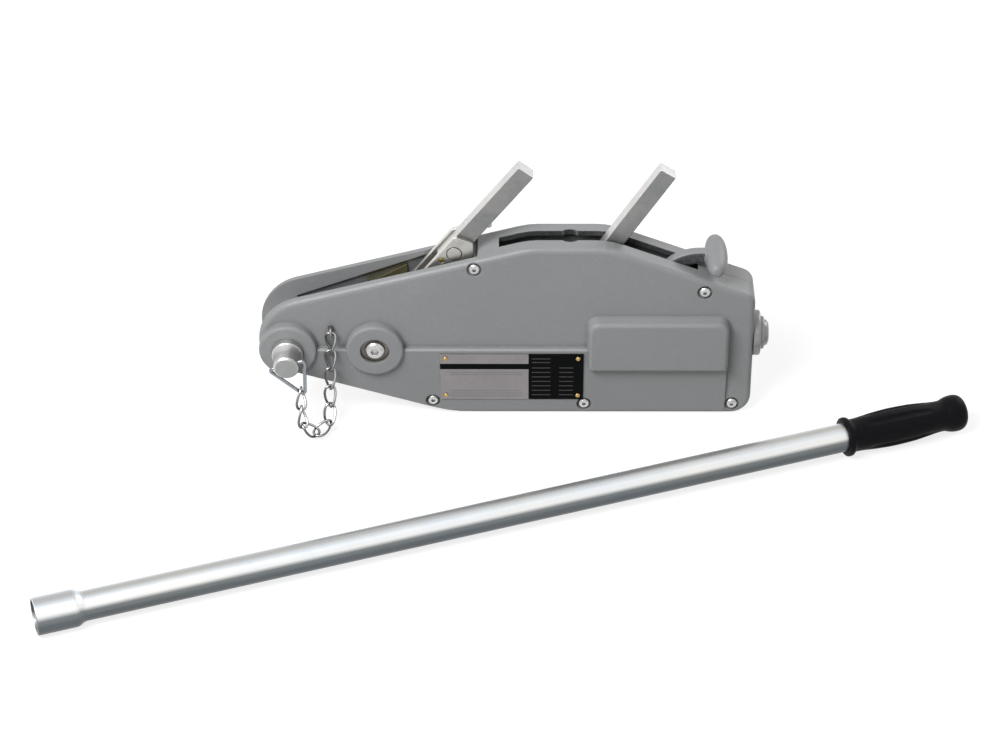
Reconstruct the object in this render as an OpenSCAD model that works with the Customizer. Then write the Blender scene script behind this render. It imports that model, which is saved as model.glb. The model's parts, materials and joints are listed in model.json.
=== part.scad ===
// Wire rope puller of the 0.8 t class: a lever-worked grip hoist with its loose handle tube.
// Millimetres. +X runs from the anchor pin to the rope guide, +Z is up, the casing stands on Z = 0.
// A depth is a distance from the mid plane Y = 0, towards the front unless it is mirrored.

/* [Casing] */
// Length of the casing from its nose to its end wall
body_l = 412.5; // [395:0.5:440]
// Height of the casing at its hump
casing_h = 166.5; // [160:0.5:180]
// Height of the pull line, on which anchor pin, lever pivot and rope lie
axis_h = 69.5; // [67:0.5:73]
// Thickness of the side walls
wall = 4; // [3:0.5:6]
// Thickness of the rim that runs round the two halves
rim = 5; // [4:0.5:6]
// Rounding of the outer edge of each half
edge_r = 4.2; // [2:0.2:5]
// Start of the hump, from the nose
hump_in = 225; // [218:1:232]
// Length of the flat top of the hump
hump_l = 66.5; // [55:0.5:80]
// Slope of the top from the hump to the nose, degrees
nose_slope = 15.2; // [14:0.1:16]
// Slope of the top from the hump to the end wall, degrees
tail_slope = 21.5; // [19:0.5:23]
// Start of the flat underside, from the nose
belly_in = 162.5; // [156:0.5:170]
// Slope of the underside from there to the nose, degrees
belly_slope = 18.4; // [17:0.1:19.5]
// How far the lower band stands proud at its upper edge
band_out = 5; // [3:0.5:7]
// Length of the lower band from the nose
band_l = 391; // [380:1:394]
// How far the two round bosses stand proud
boss_out = 8; // [6:0.5:10]
// Radius of the two round bosses
boss_r = 24.1; // [22:0.1:24.4]
// How far the raised box stands proud
box_out = 11; // [8:0.5:13]
// Start of the raised box, from the nose
box_in = 275; // [268:1:282]
// Length of the raised box
box_l = 116; // [100:1:116]
// Height of the raised box
box_h = 48; // [40:1:52]
// Top of the raised box above the pull line
box_up = 29.2; // [26:0.2:32]

/* [Openings] */
// Half width of the mouth above the forward lever
mouth_half = 14; // [12:0.5:15]
// End of the mouth, from the nose
mouth_end = 183; // [181:0.5:186]
// Length of the gap between the cheeks of the nose
nose_gap_l = 58; // [52:1:62]
// Start of the slot for the reverse and release levers, from the nose
slot_in = 200.6; // [197:0.2:204]
// Length of that slot
slot_l = 164.4; // [162:0.2:168]
// Gap between a lever and each side of the slot
slot_gap = 1; // [0.6:0.1:2]
// Radius of the rounded notch in the slot
notch_r = 9.5; // [8.5:0.1:11]

/* [Fasteners] */
// Radius of the casing screws
screw_r = 2.5; // [2:0.1:3]
// Radius of their button heads
screw_head_r = 4.9; // [4:0.1:5.5]
// Gap round a screw head in its recess
screw_head_gap = 1.3; // [0.8:0.1:1.6]
// Radius of the columns that hold the casing screws
column_r = 4.6; // [4:0.1:5.2]
// Across the flats of the casing nuts
nut_af = 9; // [8:0.5:10]

/* [Pull line] */
// Anchor pin axis, from the nose
anchor_in = 24.5; // [24.5:0.1:26]
// Forward lever pivot, from the nose
pivot_in = 97; // [95:0.5:99]
// Radius of the pivot studs
stud_r = 8; // [7:0.5:9]
// Radius of the pivot washers
washer_r = 12; // [11:0.5:13]
// Radius of the wire rope that the jaws and the guide take
rope_r = 4.15; // [3.5:0.05:4.5]
// Free space round the rope in the guide
rope_gap = 1.35; // [0.8:0.05:1.6]
// How far the rope guide stands out of the end wall
guide_out = 13.5; // [12:0.5:15]
// Radius of the rope guide's flange
guide_r = 19; // [17:0.5:21]

/* [Anchor pin] */
// Radius of the anchor pin
anchor_r = 13; // [11:0.5:14]
// How far its shank stands out of the front boss
anchor_out = 14; // [12:0.5:16]
// Length of the taper from there to its tip
anchor_taper_l = 8; // [5:0.5:9]
// Radius of its turned-down tip
tip_r = 10.5; // [9:0.5:10.5]
// Length of that tip
tip_l = 10.5; // [9:0.5:12]
// Radius of its head at the back
anchor_head_r = 17; // [15:0.5:19]
// Thickness of that head
anchor_head_t = 6; // [4:0.5:8]
// Radius of the clip's wire
clip_r = 1.5; // [1.2:0.1:1.7]
// Tilt of the clip's hole, degrees
clip_tilt = 17.5; // [10:0.5:25]

/* [Levers] */
// Width of the lever bars
bar_w = 15; // [13:0.5:16]
// Thickness of the lever bars
bar_t = 12; // [11:0.5:13]
// Forward lever: length from its pivot
forward_l = 204.3; // [190:0.1:220]
// Forward lever: lean to the right at rest, degrees
forward_rest = 38; // [36:0.5:38.5]
// Forward lever: height of the lever pin above the pivot
lever_pin_u = 108.6; // [105:0.2:112]
// Radius of the lever pin
lever_pin_r = 6; // [5:0.5:6.5]
// Thickness of the fork's cheeks
cheek_t = 4; // [3:0.5:5]
// Radius of the shear pins
shear_r = 2.5; // [2:0.1:3]
// Distance of the drive pins from the pivot
crank_r = 24; // [23:0.5:25]
// Radius of the drive pins
drive_r = 4; // [3.5:0.1:4.4]
// Radius of the detent button in the forward lever
detent_r = 2.6; // [2:0.1:3]
// How far the detent button stands out
detent_out = 3.6; // [3:0.1:4.5]
// Reverse lever: pivot from the nose
reverse_in = 259; // [257:0.5:261]
// Reverse lever: height of its pivot above the pull line
reverse_up = 37; // [36.4:0.2:39]
// Reverse lever: length from its pivot
reverse_l = 146; // [135:0.5:155]
// Reverse lever: lean to the right at rest, degrees
reverse_rest = 32.6; // [30:0.2:34]
// Reverse lever: length of the toe below its pivot
toe_l = 13.5; // [12.5:0.1:13.8]
// Radius of the reverse axle
reverse_axle_r = 7; // [6:0.2:7.4]
// Release lever: pivot from the nose
release_in = 320; // [318:0.5:322]
// Release lever: height of its pivot above the pull line
release_up = 45.2; // [44:0.2:47]
// Radius of the release axle
release_axle_r = 6; // [5:0.2:6.4]
// Release lever: length of the arm below its pivot
release_arm_l = 20; // [19:0.2:20.6]
// Release lever: backward lean of that arm at rest, degrees
release_arm_lean = 20; // [18:0.5:22]
// Release lever: T grip from the nose
grip_in = 379.5; // [376:0.5:382]
// Release lever: radius of the T grip
grip_r = 9.5; // [8:0.5:11]
// Release lever: length of the T grip
grip_l = 53; // [46:0.5:58]
// Release lever: thickness of its arm
release_t = 10; // [9:0.5:11]
// Release lever: depth of its arm
release_w = 12; // [10:0.5:13]
// Release lever: bend radius of its arm
release_bend = 34; // [30:0.5:36]

/* [Jaws] */
// Length of a jaw
jaw_l = 70; // [60:1:72]
// Height of a jaw
jaw_h = 17; // [16:0.5:17]
// Gap between the two jaws of a pair
jaw_gap = 1; // [0.6:0.1:1.4]
// How far a jaw opens when the release lever is up
jaw_lift = 1.6; // [1:0.1:1.8]
// Start of the front jaws at rest, from the nose
front_jaw_in = 153; // [151:0.5:156]
// Start of the rear jaws at rest, from the nose
rear_jaw_in = 288; // [285:0.5:291]
// Thickness of the jaw plates
plate_t = 2.5; // [2:0.1:3]
// Height of the jaw plates above and below the pull line
plate_half_h = 27.5; // [26.5:0.1:27.9]
// Radius of the jaw pins
jaw_pin_r = 3.5; // [3:0.1:4]
// Distance between the two jaw pins of a jaw
jaw_pin_pitch = 44; // [36:1:48]
// Height of the jaw pins above and below the pull line
jaw_pin_up = 12; // [11.5:0.1:12.5]

/* [Nameplate] */
// Start of the nameplate, from the nose
label_in = 151; // [149:0.5:153]
// Length of the nameplate
label_l = 120; // [110:1:121]
// Height of the nameplate
label_h = 49; // [40:1:50]
// Lower edge of the nameplate above the floor
label_low = 16.5; // [16:0.5:18]
// Thickness of the nameplate
label_t = 0.8; // [0.5:0.1:1.2]
// Radius of the nameplate's rivets
rivet_r = 2.2; // [2:0.1:3]

/* [Pin chain] */
// Outer length of a chain link
link_l = 20.5; // [19:0.1:22]
// Outer width of a chain link
link_w = 11; // [10:0.1:12]
// Radius of its wire
link_r = 1; // [0.9:0.05:1.1]

/* [Handle] */
// Length of the handle
handle_l = 790; // [700:5:850]
// Radius of the handle tube
tube_r = 12; // [11:0.5:13]
// Wall of the handle tube
tube_wall = 2; // [1.5:0.1:2.2]
// Outer radius of the socket that slips over a lever bar
socket_r = 15; // [14.5:0.5:16]
// Length of the socket
socket_l = 31; // [28:1:40]
// Length of the rubber grip
rubber_l = 110; // [100:1:120]
// Radius of the rubber grip's flange
rubber_r = 16.5; // [16:0.5:18]
// Angle of the handle on the floor, degrees
handle_turn = 19.5; // [15:0.5:22]

/* [Clearances] */
// Radial clearance of a running fit
run = 0.06; // [0.03:0.01:0.1]
// Gap between parts that slide past each other
slide_gap = 0.5; // [0.4:0.05:0.6]
// Gap between a sliding plate and its rail
rail_gap = 0.3; // [0.2:0.05:0.4]
// Gap between pieces that are bolted together
seat = 0.05; // [0.02:0.01:0.1]
// Gap beside a pin that works in a slot
slot_play = 0.7; // [0.6:0.05:0.8]

/* [Hidden] */
$fn = 48;

// Depths of the layers from the mid plane outwards
bar_half = bar_t / 2;
cheek_in = bar_half + 0.2;
cheek_out = cheek_in + cheek_t;
front_plate_in = cheek_out + slide_gap;
front_plate_out = front_plate_in + plate_t;
rear_plate_in = front_plate_out + slide_gap;
rear_plate_out = rear_plate_in + plate_t;
inner_half = rear_plate_out + slide_gap;
side_half = inner_half + wall;
band_half = side_half + band_out;
boss_half = side_half + boss_out;
box_half = side_half + box_out;
slot_half = bar_half + slot_gap;
jaw_half = front_plate_in - slide_gap;
rail_in = cheek_out + rail_gap;
strip_in = bar_half + slide_gap;
strip_t = 2.5;
strip_out = strip_in + strip_t;

// Places along the casing
nose_x = -(body_l + guide_out) / 2;
tail_x = nose_x + body_l;
anchor_x = nose_x + anchor_in;
pivot_x = nose_x + pivot_in;
hump_x = nose_x + hump_in;
belly_x = nose_x + belly_in;
box_x = nose_x + box_in;
slot_x = nose_x + slot_in;
reverse_x = nose_x + reverse_in;
reverse_z = axis_h + reverse_up;
release_x = nose_x + release_in;
release_z = axis_h + release_up;
front_jaw_x = nose_x + front_jaw_in;
rear_jaw_x = nose_x + rear_jaw_in;

// Top and underside of the outline at a place along the casing
function top_z(x) = casing_h
    - max(0, hump_x - x) * tan(nose_slope)
    - max(0, x - hump_x - hump_l) * tan(tail_slope);
function under_z(x) = max(0, belly_x - x) * tan(belly_slope);

// Casing outline, counter-clockwise from the lower nose, with the rounding of each corner
corners = [
    [nose_x, under_z(nose_x)], [belly_x, 0], [tail_x, 0], [tail_x, top_z(tail_x)],
    [hump_x + hump_l, casing_h], [hump_x, casing_h], [nose_x, top_z(nose_x)]
];
corner_r = [25, 130, 17, 12, 60, 60, 42];

function unit(v) = v / norm(v);
function before(p, i) = p[(i + len(p) - 1) % len(p)];
function after(p, i) = p[(i + 1) % len(p)];
function outward(a, b) = let (d = unit(b - a)) [d.y, -d.x];

// A convex outline moved inwards by d
function inset(p, d) = [
    for (i = [0:len(p) - 1])
        let (m = outward(before(p, i), p[i]), n = outward(p[i], after(p, i)))
        p[i] - d * (m + n) / (1 + m * n)
];

// Half the inner angle at a corner, and the length that its rounding takes from each side
function half_angle(p, i) = acos(unit(before(p, i) - p[i]) * unit(after(p, i) - p[i])) / 2;
function wish(p, r, i) = r[i] / tan(half_angle(p, i));
function share(p, r, i, j) = norm(p[i] - p[j]) / (wish(p, r, i) + wish(p, r, j));
function taken(p, r, i) =
    let (n = len(p))
    wish(p, r, i) * min(1, 0.99 * share(p, r, i, (i + n - 1) % n), 0.99 * share(p, r, i, (i + 1) % n));

// A convex outline with rounded corners
function rounded(p, r) = [
    for (i = [0:len(p) - 1])
        let (
            half = half_angle(p, i),
            t = taken(p, r, i),
            u = unit(before(p, i) - p[i]),
            v = unit(after(p, i) - p[i]),
            c = p[i] + unit(u + v) * t / cos(half),
            s = p[i] + u * t - c,
            steps = max(2, ceil((180 - 2 * half) / 9))
        )
        for (k = [0:steps])
            c + norm(s) * [cos(atan2(s.y, s.x) + (180 - 2 * half) * k / steps),
                           sin(atan2(s.y, s.x) + (180 - 2 * half) * k / steps)]
];
function casing_outline(d) = rounded(inset(corners, d), [for (r = corner_r) max(1, r - d)]);

// An outline in X and Z made into a slab between two depths
module slab(d0, d1) {
    translate([0, -d0, 0])
        rotate([90, 0, 0])
            linear_extrude(d1 - d0)
                children();
}

// A round pin across the casing between two depths
module pin_y(x, z, d0, d1, r) {
    translate([x, -d0, z])
        rotate([90, 0, 0])
            cylinder(r = r, h = d1 - d0);
}

// A profile in depth and height run along X
module run_x(x0, x1) {
    translate([x0, 0, 0])
        rotate([90, 0, 90])
            linear_extrude(x1 - x0)
                children();
}

// A solid turned about an axis across the casing, its profile in radius and depth
module turned_y(x, z) {
    translate([x, 0, z])
        rotate([90, 0, 0])
            rotate_extrude()
                children();
}

// A solid turned about the pull line, its profile in radius and X
module turned_x(z) {
    translate([0, 0, z])
        rotate([0, 90, 0])
            rotate_extrude()
                children();
}

module both_sides() {
    children();
    mirror([0, 1, 0]) children();
}

// The frames of the two levers at rest: across in X, along the lever in Z
module on_forward() {
    translate([pivot_x, 0, axis_h]) rotate([0, forward_rest, 0]) children();
}

module on_reverse() {
    translate([reverse_x, 0, reverse_z]) rotate([0, reverse_rest, 0]) children();
}

// The tilted outer face of the lower band, with its own height in Z
ledge_r = 1.5;
band_tilt = atan(band_out / (axis_h - ledge_r));
module on_band() {
    translate([0, -side_half, 0]) rotate([band_tilt, 0, 0]) children();
}

// Casing
casing_screw_at = [
    [nose_x + 180.3, top_z(nose_x + 180.3) - 8],
    [nose_x + 370.2, top_z(nose_x + 370.2) - 11.7],
    [nose_x + 144.5, under_z(nose_x + 144.5) + 8],
    [nose_x + 271.9, 10.7],
    [tail_x - 15.8, 10.5]
];
screw_seat = side_half - 1.6;
screw_pocket_r = screw_head_r + screw_head_gap;
nut_t = 4;
washer_seat = side_half + 2.2;
washer_t = 2.8;
pivot_boss_r = stud_r + 2.5;
reverse_boss_r = reverse_axle_r + 3.5;
release_boss_r = release_axle_r + 3.5;
axle_half = inner_half + 1.5;
rail_t = 4;
rail_bottom = axis_h - plate_half_h - rail_gap;
rail_top = axis_h + plate_half_h + rail_gap;
spring_z = axis_h + 23.5;
post_x = nose_x + 385;
post_t = 4;
rod_r = 1.6;
guide_shank_r = 13;
plate_margin = 6;
crank_swing = 70;
jaw_travel = 27.2;

module casing_skin() {
    hull() {
        slab(seat, side_half - edge_r) polygon(casing_outline(0));
        for (a = [30, 60, 90])
            slab(side_half - edge_r, side_half - edge_r + edge_r * sin(a))
                polygon(casing_outline(edge_r * (1 - cos(a))));
    }
}

module lower_band() {
    root = side_half - edge_r - 1;
    foot = band_out * edge_r / (axis_h - ledge_r);
    intersection() {
        slab(root, band_half) polygon(casing_outline(1));
        run_x(nose_x, nose_x + band_l)
            polygon([
                [-root, 0],
                for (a = [0, 30, 60, 90])
                    [edge_r - side_half - (edge_r + foot) * sin(a), edge_r * (1 - cos(a))],
                [-band_half, axis_h - ledge_r], [-band_half + ledge_r, axis_h], [-root, axis_h]
            ]);
    }
}

function box_outline(d) = rounded(
    inset([
        [box_x, axis_h + box_up - box_h], [box_x + box_l, axis_h + box_up - box_h],
        [box_x + box_l, axis_h + box_up], [box_x, axis_h + box_up]
    ], d), [2, 2, 9, 9]);

module side_box() {
    hull() {
        slab(side_half - 2, side_half - 1) polygon(box_outline(-1.5));
        slab(side_half - 2, box_half - 2.5) polygon(box_outline(0));
        slab(side_half - 2, box_half - 0.8) polygon(box_outline(0.9));
        slab(side_half - 2, box_half) polygon(box_outline(2.6));
    }
}

module boss(x) {
    turned_y(x, axis_h)
        polygon([
            [0, inner_half], [boss_r, inner_half], [boss_r, boss_half - 2],
            [boss_r - 0.6, boss_half - 0.6], [boss_r - 2, boss_half], [0, boss_half]
        ]);
}

// Under the lips of the mouth the hollow is wider than between the cheeks of the nose
lip_x = nose_x + 31.2;
lip_up = 27.7;
lip_slope = 20.8;
module under_lips() {
    lip_end = nose_x + mouth_end;
    slab(-2, inner_half + 1)
        polygon([
            [lip_x, -1], [tail_x, -1], [tail_x, casing_h + 1], [lip_end, casing_h + 1],
            [lip_end, axis_h + lip_up + (lip_end - lip_x) * tan(lip_slope)], [lip_x, axis_h + lip_up]
        ]);
}

module casing_hollow() {
    slab(-1, mouth_half) polygon(casing_outline(rim));
    intersection() {
        slab(-1, inner_half) polygon(casing_outline(rim));
        under_lips();
    }
    // The gap between the cheeks of the nose
    translate([nose_x - 1, -mouth_half, -1]) cube([nose_gap_l + 1, mouth_half + 1, casing_h + 2]);
    // The mouth above the forward lever
    translate([nose_x - 1, -mouth_half, axis_h]) cube([mouth_end + 1, mouth_half + 1, casing_h]);
    // The slot above the reverse and release levers, with its notch
    translate([slot_x, -slot_half, axis_h + 40]) cube([slot_l, slot_half + 1, casing_h]);
    translate([reverse_x, 0, axis_h + 40]) cylinder(r = notch_r, h = casing_h);
    // The pockets behind the lower band and the raised box
    intersection() {
        slab(inner_half - 1, band_half) polygon(casing_outline(rim + 4));
        run_x(pivot_x + boss_r + 4, box_x + box_l - wall)
            polygon([
                [1 - inner_half, 4], [-inner_half, 4],
                [wall - band_half, axis_h - wall], [1 - inner_half, axis_h - wall]
            ]);
    }
    slab(inner_half - 1, box_half - wall) polygon(box_outline(wall));
}

module casing_inside() {
    // Rails on which the jaw plates run
    rail_back = side_half - 0.5;
    for (z = [rail_bottom - rail_t, rail_top])
        translate([rear_jaw_x - plate_margin, -rail_back, z])
            cube([jaw_l + 2 * plate_margin + jaw_travel, rail_back - rail_in, rail_t]);
    for (z = [rail_bottom - rail_t, rail_top])
        translate([front_jaw_x - plate_margin - jaw_travel + 8, -rail_back, z])
            cube([jaw_l + 2 * plate_margin + jaw_travel - 8, rail_back - rail_in, rail_t]);
    for (at = casing_screw_at)
        pin_y(at.x, at.y, seat, inner_half + 1, column_r);
    pin_y(pivot_x, axis_h, cheek_out + rail_gap, inner_half + 1, pivot_boss_r);
    pin_y(reverse_x, reverse_z, strip_out + 0.4, inner_half + 1, reverse_boss_r);
    pin_y(reverse_x, reverse_z, bar_half + slide_gap, strip_out + 1, reverse_collar_r);
    pin_y(release_x, release_z, release_t / 2 + slide_gap, inner_half + 1, release_boss_r);
    // The post that the release spring pushes against
    post_low = spring_z - 4;
    translate([post_x, -bar_half, post_low])
        cube([post_t, bar_half - seat, top_z(post_x + post_t) - rim / 2 - post_low]);
}

module casing_bores() {
    pin_y(anchor_x, axis_h, -1, boss_half + 1, anchor_r + run);
    pin_y(pivot_x, axis_h, -1, boss_half + 1, stud_r + seat);
    pin_y(pivot_x, axis_h, washer_seat, boss_half + 1, washer_r + 0.2);
    pin_y(reverse_x, reverse_z, -1, axle_half, reverse_axle_r + seat);
    pin_y(release_x, release_z, -1, axle_half, release_axle_r + seat);
    for (at = casing_screw_at) {
        pin_y(at.x, at.y, -1, boss_half, screw_r + 0.2);
        pin_y(at.x, at.y, screw_seat, boss_half, screw_pocket_r);
    }
    translate([tail_x - rim - 2, 0, axis_h])
        rotate([0, 90, 0]) cylinder(r = guide_shank_r + seat, h = rim + 4);
    translate([post_x - 1, 0, spring_z])
        rotate([0, 90, 0]) cylinder(r = rod_r + 0.4, h = post_t + 2);
}

module casing_half() {
    difference() {
        union() {
            difference() {
                union() {
                    casing_skin();
                    lower_band();
                    side_box();
                    boss(anchor_x);
                    boss(pivot_x);
                }
                casing_hollow();
            }
            casing_inside();
        }
        casing_bores();
    }
}

eye_x = nose_x + 60.9;
eye_z = axis_h + 18.3;
eye_shank_r = 2.4;
rivet_inset = 4.5;
rivet_at = [
    for (x = [rivet_inset, label_l - rivet_inset], z = [rivet_inset, label_h - rivet_inset])
        [nose_x + label_in + x, label_low + z]
];
rivet_shank_r = 1.2;
rivet_shank_l = 3;

module front_casing() {
    color("#8e8f90")
        difference() {
            casing_half();
            pin_y(eye_x, eye_z, inner_half - 2, side_half + 1, eye_shank_r + seat);
            on_band()
                for (at = rivet_at)
                    translate([at.x, 1, at.y])
                        rotate([-90, 0, 0])
                            translate([0, 0, -2]) cylinder(r = rivet_shank_r + seat, h = rivet_shank_l + 2);
        }
}

module rear_casing() {
    color("#8a8b8c") mirror([0, 1, 0]) casing_half();
}

// A button head with a hex socket, its seat at height 0
module button_head(r, h, key_af) {
    difference() {
        rotate_extrude()
            polygon([[0, 0], [r, 0], [r, h * 0.25], [r * 0.93, h * 0.55], [r * 0.78, h * 0.85],
                     [r * 0.6, h], [0, h]]);
        translate([0, 0, h * 0.45]) cylinder(d = key_af / cos(30), h = h, $fn = 6);
    }
}

module casing_screws() {
    color("#b9bcc0")
        for (at = casing_screw_at) {
            pin_y(at.x, at.y, -screw_seat - nut_t, screw_seat + 0.4, screw_r);
            translate([at.x, -screw_seat - seat, at.y])
                rotate([90, 0, 0]) button_head(screw_head_r, 2.7, 3);
        }
}

module casing_nuts() {
    color("#b9bcc0")
        for (at = casing_screw_at)
            translate([at.x, screw_seat + seat, at.y])
                rotate([-90, 0, 0])
                    difference() {
                        cylinder(d = nut_af / cos(30), h = nut_t, $fn = 6);
                        translate([0, 0, -1]) cylinder(r = screw_r + 0.1, h = nut_t + 2);
                    }
}

pivot_screw_r = 4;
stud_collar_r = stud_r + 3;
stud_in = rope_r + 0.8;

module pivot_studs() {
    color("#a7a9a6")
        both_sides()
            difference() {
                union() {
                    pin_y(pivot_x, axis_h, cheek_in - 1, washer_seat, stud_r);
                    pin_y(pivot_x, axis_h, stud_in, cheek_in - rail_gap, stud_collar_r);
                }
                pin_y(pivot_x, axis_h, washer_seat - 10, washer_seat + 1, pivot_screw_r + seat);
            }
}

module pivot_washers() {
    color("#b4b6b8")
        both_sides()
            difference() {
                pin_y(pivot_x, axis_h, washer_seat + seat, washer_seat + washer_t, washer_r);
                pin_y(pivot_x, axis_h, washer_seat - 1, washer_seat + washer_t + 1, pivot_screw_r + 0.2);
            }
}

module pivot_screws() {
    color("#a2a5a9")
        both_sides() {
            pin_y(pivot_x, axis_h, washer_seat - 9.5, washer_seat + washer_t + 1, pivot_screw_r);
            translate([pivot_x, -washer_seat - washer_t - seat, axis_h])
                rotate([90, 0, 0]) button_head(8.5, 3.6, 6);
        }
}

// Guard plates under the lips of the mouth, held by two rivets each
wear_t = 2;
wear_out = inner_half - 0.2;
wear_low = axis_h + 31;
wear_x = nose_x + 89;
wear_l = 35;
wear_left_h = 8.5;
wear_right_h = 28;
module wear_plates() {
    color("#8d8a4c")
        both_sides()
            slab(wear_out - wear_t, wear_out)
                polygon([
                    [wear_x, wear_low], [wear_x + wear_l, wear_low],
                    [wear_x + wear_l, wear_low + wear_right_h], [wear_x, wear_low + wear_left_h]
                ]);
}

module reverse_axle() {
    color("#a7a9a6") pin_y(reverse_x, reverse_z, -axle_half + 0.1, axle_half - 0.1, reverse_axle_r);
}

module release_axle() {
    color("#a7a9a6") pin_y(release_x, release_z, -axle_half + 0.1, axle_half - 0.1, release_axle_r);
}

// Rope guide: a turned bush with a stepped mouth, held by its collar behind the end wall
guide_bore_r = rope_r + rope_gap;
module rope_guide() {
    flange_x = tail_x + 0.1;
    tip_x = tail_x + guide_out;
    back_x = tail_x - rim - 0.2;
    color("#7d7f80")
        turned_x(axis_h)
            polygon([
                [guide_bore_r, back_x - 4], [guide_shank_r + 4, back_x - 4],
                [guide_shank_r + 4, back_x], [guide_shank_r, back_x],
                [guide_shank_r, flange_x], [guide_r, flange_x],
                [guide_r, flange_x + 5.4], [guide_r - 1, flange_x + 6.4],
                [guide_r - 5.25, flange_x + 6.4], [guide_r - 5.25, flange_x + 9.4],
                [guide_r - 7.75, flange_x + 9.8], [guide_r - 8.6, tip_x - 1.4],
                [guide_r - 11, tip_x], [guide_bore_r + 1.4, tip_x], [guide_bore_r, tip_x - 1.6]
            ]);
}

module nameplate() {
    color("#c9cacb")
        on_band()
            difference() {
                translate([nose_x + label_in, -label_t - seat, label_low])
                    cube([label_l, label_t, label_h]);
                for (at = rivet_at)
                    translate([at.x, 1, at.y])
                        rotate([90, 0, 0]) cylinder(r = rivet_shank_r + seat, h = label_t + 3);
            }
}

module nameplate_rivets() {
    color("#b9924a")
        on_band()
            for (at = rivet_at)
                translate([at.x, -label_t - 2 * seat, at.y])
                    rotate([90, 0, 0])
                        rotate_extrude()
                            polygon([
                                [0, -label_t - 2.4], [rivet_shank_r, -label_t - 2.4], [rivet_shank_r, 0],
                                [rivet_r, 0], [rivet_r * 0.9, 0.7], [rivet_r * 0.6, 1.3], [0, 1.6]
                            ]);
}

// Chain eye and pin chain
eye_ring_r = 3.6;
eye_wire_r = 1.2;
eye_ring_y = -side_half - eye_ring_r - eye_wire_r - 0.4;
module chain_eye() {
    color("#c2c5c8") {
        pin_y(eye_x, eye_z, inner_half - 1.5, side_half + 1.6, eye_shank_r);
        translate([eye_x, eye_ring_y, eye_z])
            rotate([0, 90, 0])
                rotate_extrude() translate([eye_ring_r, 0]) circle(r = eye_wire_r);
    }
}

// The chain's route from the eye, down the wall, round a bight just over the floor and up into the clip
clip_y = -boss_half - anchor_out - 5.2;
clip_low = [anchor_x + 14.5, clip_y, axis_h - 31];
chain_route = [
    [eye_x, eye_ring_y - 0.8, eye_z - 2.1], [eye_x - 1, eye_ring_y - 4.7, eye_z - 24.7],
    [eye_x - 2.2, eye_ring_y - 12.3, 28.9], [eye_x - 2.1, eye_ring_y - 17.7, 15.8],
    [eye_x - 3.6, eye_ring_y - 23.7, 8.4], [eye_x - 12.8, clip_y - 10.8, 6.8],
    [anchor_x + 14, clip_y - 14.6, 15.8], [anchor_x + 11.7, clip_y - 10.8, 25], clip_low + [-3.4, 1.8, 5.7]
];
link_n = 9;
// Slack at each joint: links hang close along the wall and sit loose where the chain turns
link_slack = [for (i = [0:link_n]) i == 0 ? 0.8 : i < 4 ? 0.4 : i == 4 ? 0.7 : i == link_n ? 0.8 : 1.1];
function route(t) =
    let (
        n = len(chain_route) - 1,
        i = min(floor(t * n), n - 1),
        f = t * n - i,
        b = chain_route[i],
        c = chain_route[i + 1],
        a = i > 0 ? chain_route[i - 1] : 2 * b - c,
        d = i + 2 > n ? 2 * c - b : chain_route[i + 2]
    )
    (2 * b + (c - a) * f + (2 * a - 5 * b + 4 * c - d) * f * f + (3 * b - a - 3 * c + d) * f * f * f) / 2;
function link_pitch(i) = link_l - 4 * link_r - (link_slack[i] + link_slack[i + 1]) / 2;
function link_end(t, pitch, lo, hi, n) =
    let (mid = (lo + hi) / 2)
    n == 0 ? mid
    : norm(route(mid) - route(t)) < pitch ? link_end(t, pitch, mid, hi, n - 1)
    : link_end(t, pitch, lo, mid, n - 1);
function joints_from(t, i) =
    i == link_n ? [t] : concat([t], joints_from(link_end(t, link_pitch(i), t, 1.3, 24), i + 1));
chain_joints = [for (t = joints_from(0, 0)) route(t)];

// A twisted link along X: a long ring whose ends stand square to each other
link_rings = 20;
link_sides = 6;
function link_line(a) =
    let (
        half = link_l / 2 - link_r,
        side = link_w / 2 - link_r,
        x = half * cos(a) / pow(pow(abs(cos(a)), 3) + pow(abs(sin(a)), 3), 1 / 3),
        y = side * sin(a) / pow(pow(abs(cos(a)), 3) + pow(abs(sin(a)), 3), 1 / 3),
        turn = 45 * x / half
    )
    [x, y * cos(turn), y * sin(turn)];
module chain_link() {
    points = [
        for (i = [0:link_rings - 1])
            let (
                a = 360 * i / link_rings,
                c = link_line(a),
                d = unit(link_line(a + 1) - link_line(a - 1)),
                side = unit(cross(d, c)),
                up = cross(d, side)
            )
            for (k = [0:link_sides - 1])
                c + link_r * (side * cos(360 * k / link_sides) + up * sin(360 * k / link_sides))
    ];
    function at(i, k) = (i % link_rings) * link_sides + k % link_sides;
    faces = [
        for (i = [0:link_rings - 1], k = [0:link_sides - 1])
            each [[at(i, k), at(i + 1, k), at(i + 1, k + 1)], [at(i, k), at(i + 1, k + 1), at(i, k + 1)]]
    ];
    polyhedron(points, faces);
}

// Each link turns a little more about the chain than the one before it
link_roll = -8;
link_roll_step = -9;
chain_front = unit([0.64, -0.77, 0]);
module on_link(i) {
    a = chain_joints[i];
    b = chain_joints[i + 1];
    d = unit(b - a);
    flat = unit(chain_front - d * (chain_front * d));
    turn = link_roll + i * link_roll_step;
    side = flat * cos(turn) + cross(d, flat) * sin(turn);
    up = cross(d, side);
    m = (a + b) / 2 + d * (link_slack[i + 1] - link_slack[i]) / 4;
    multmatrix([
        [d.x, side.x, up.x, m.x], [d.y, side.y, up.y, m.y], [d.z, side.z, up.z, m.z], [0, 0, 0, 1]
    ])
        children();
}
module pin_chain() {
    color("#c9ccd0")
        for (i = [0:link_n - 1])
            on_link(i) chain_link();
}

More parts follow.
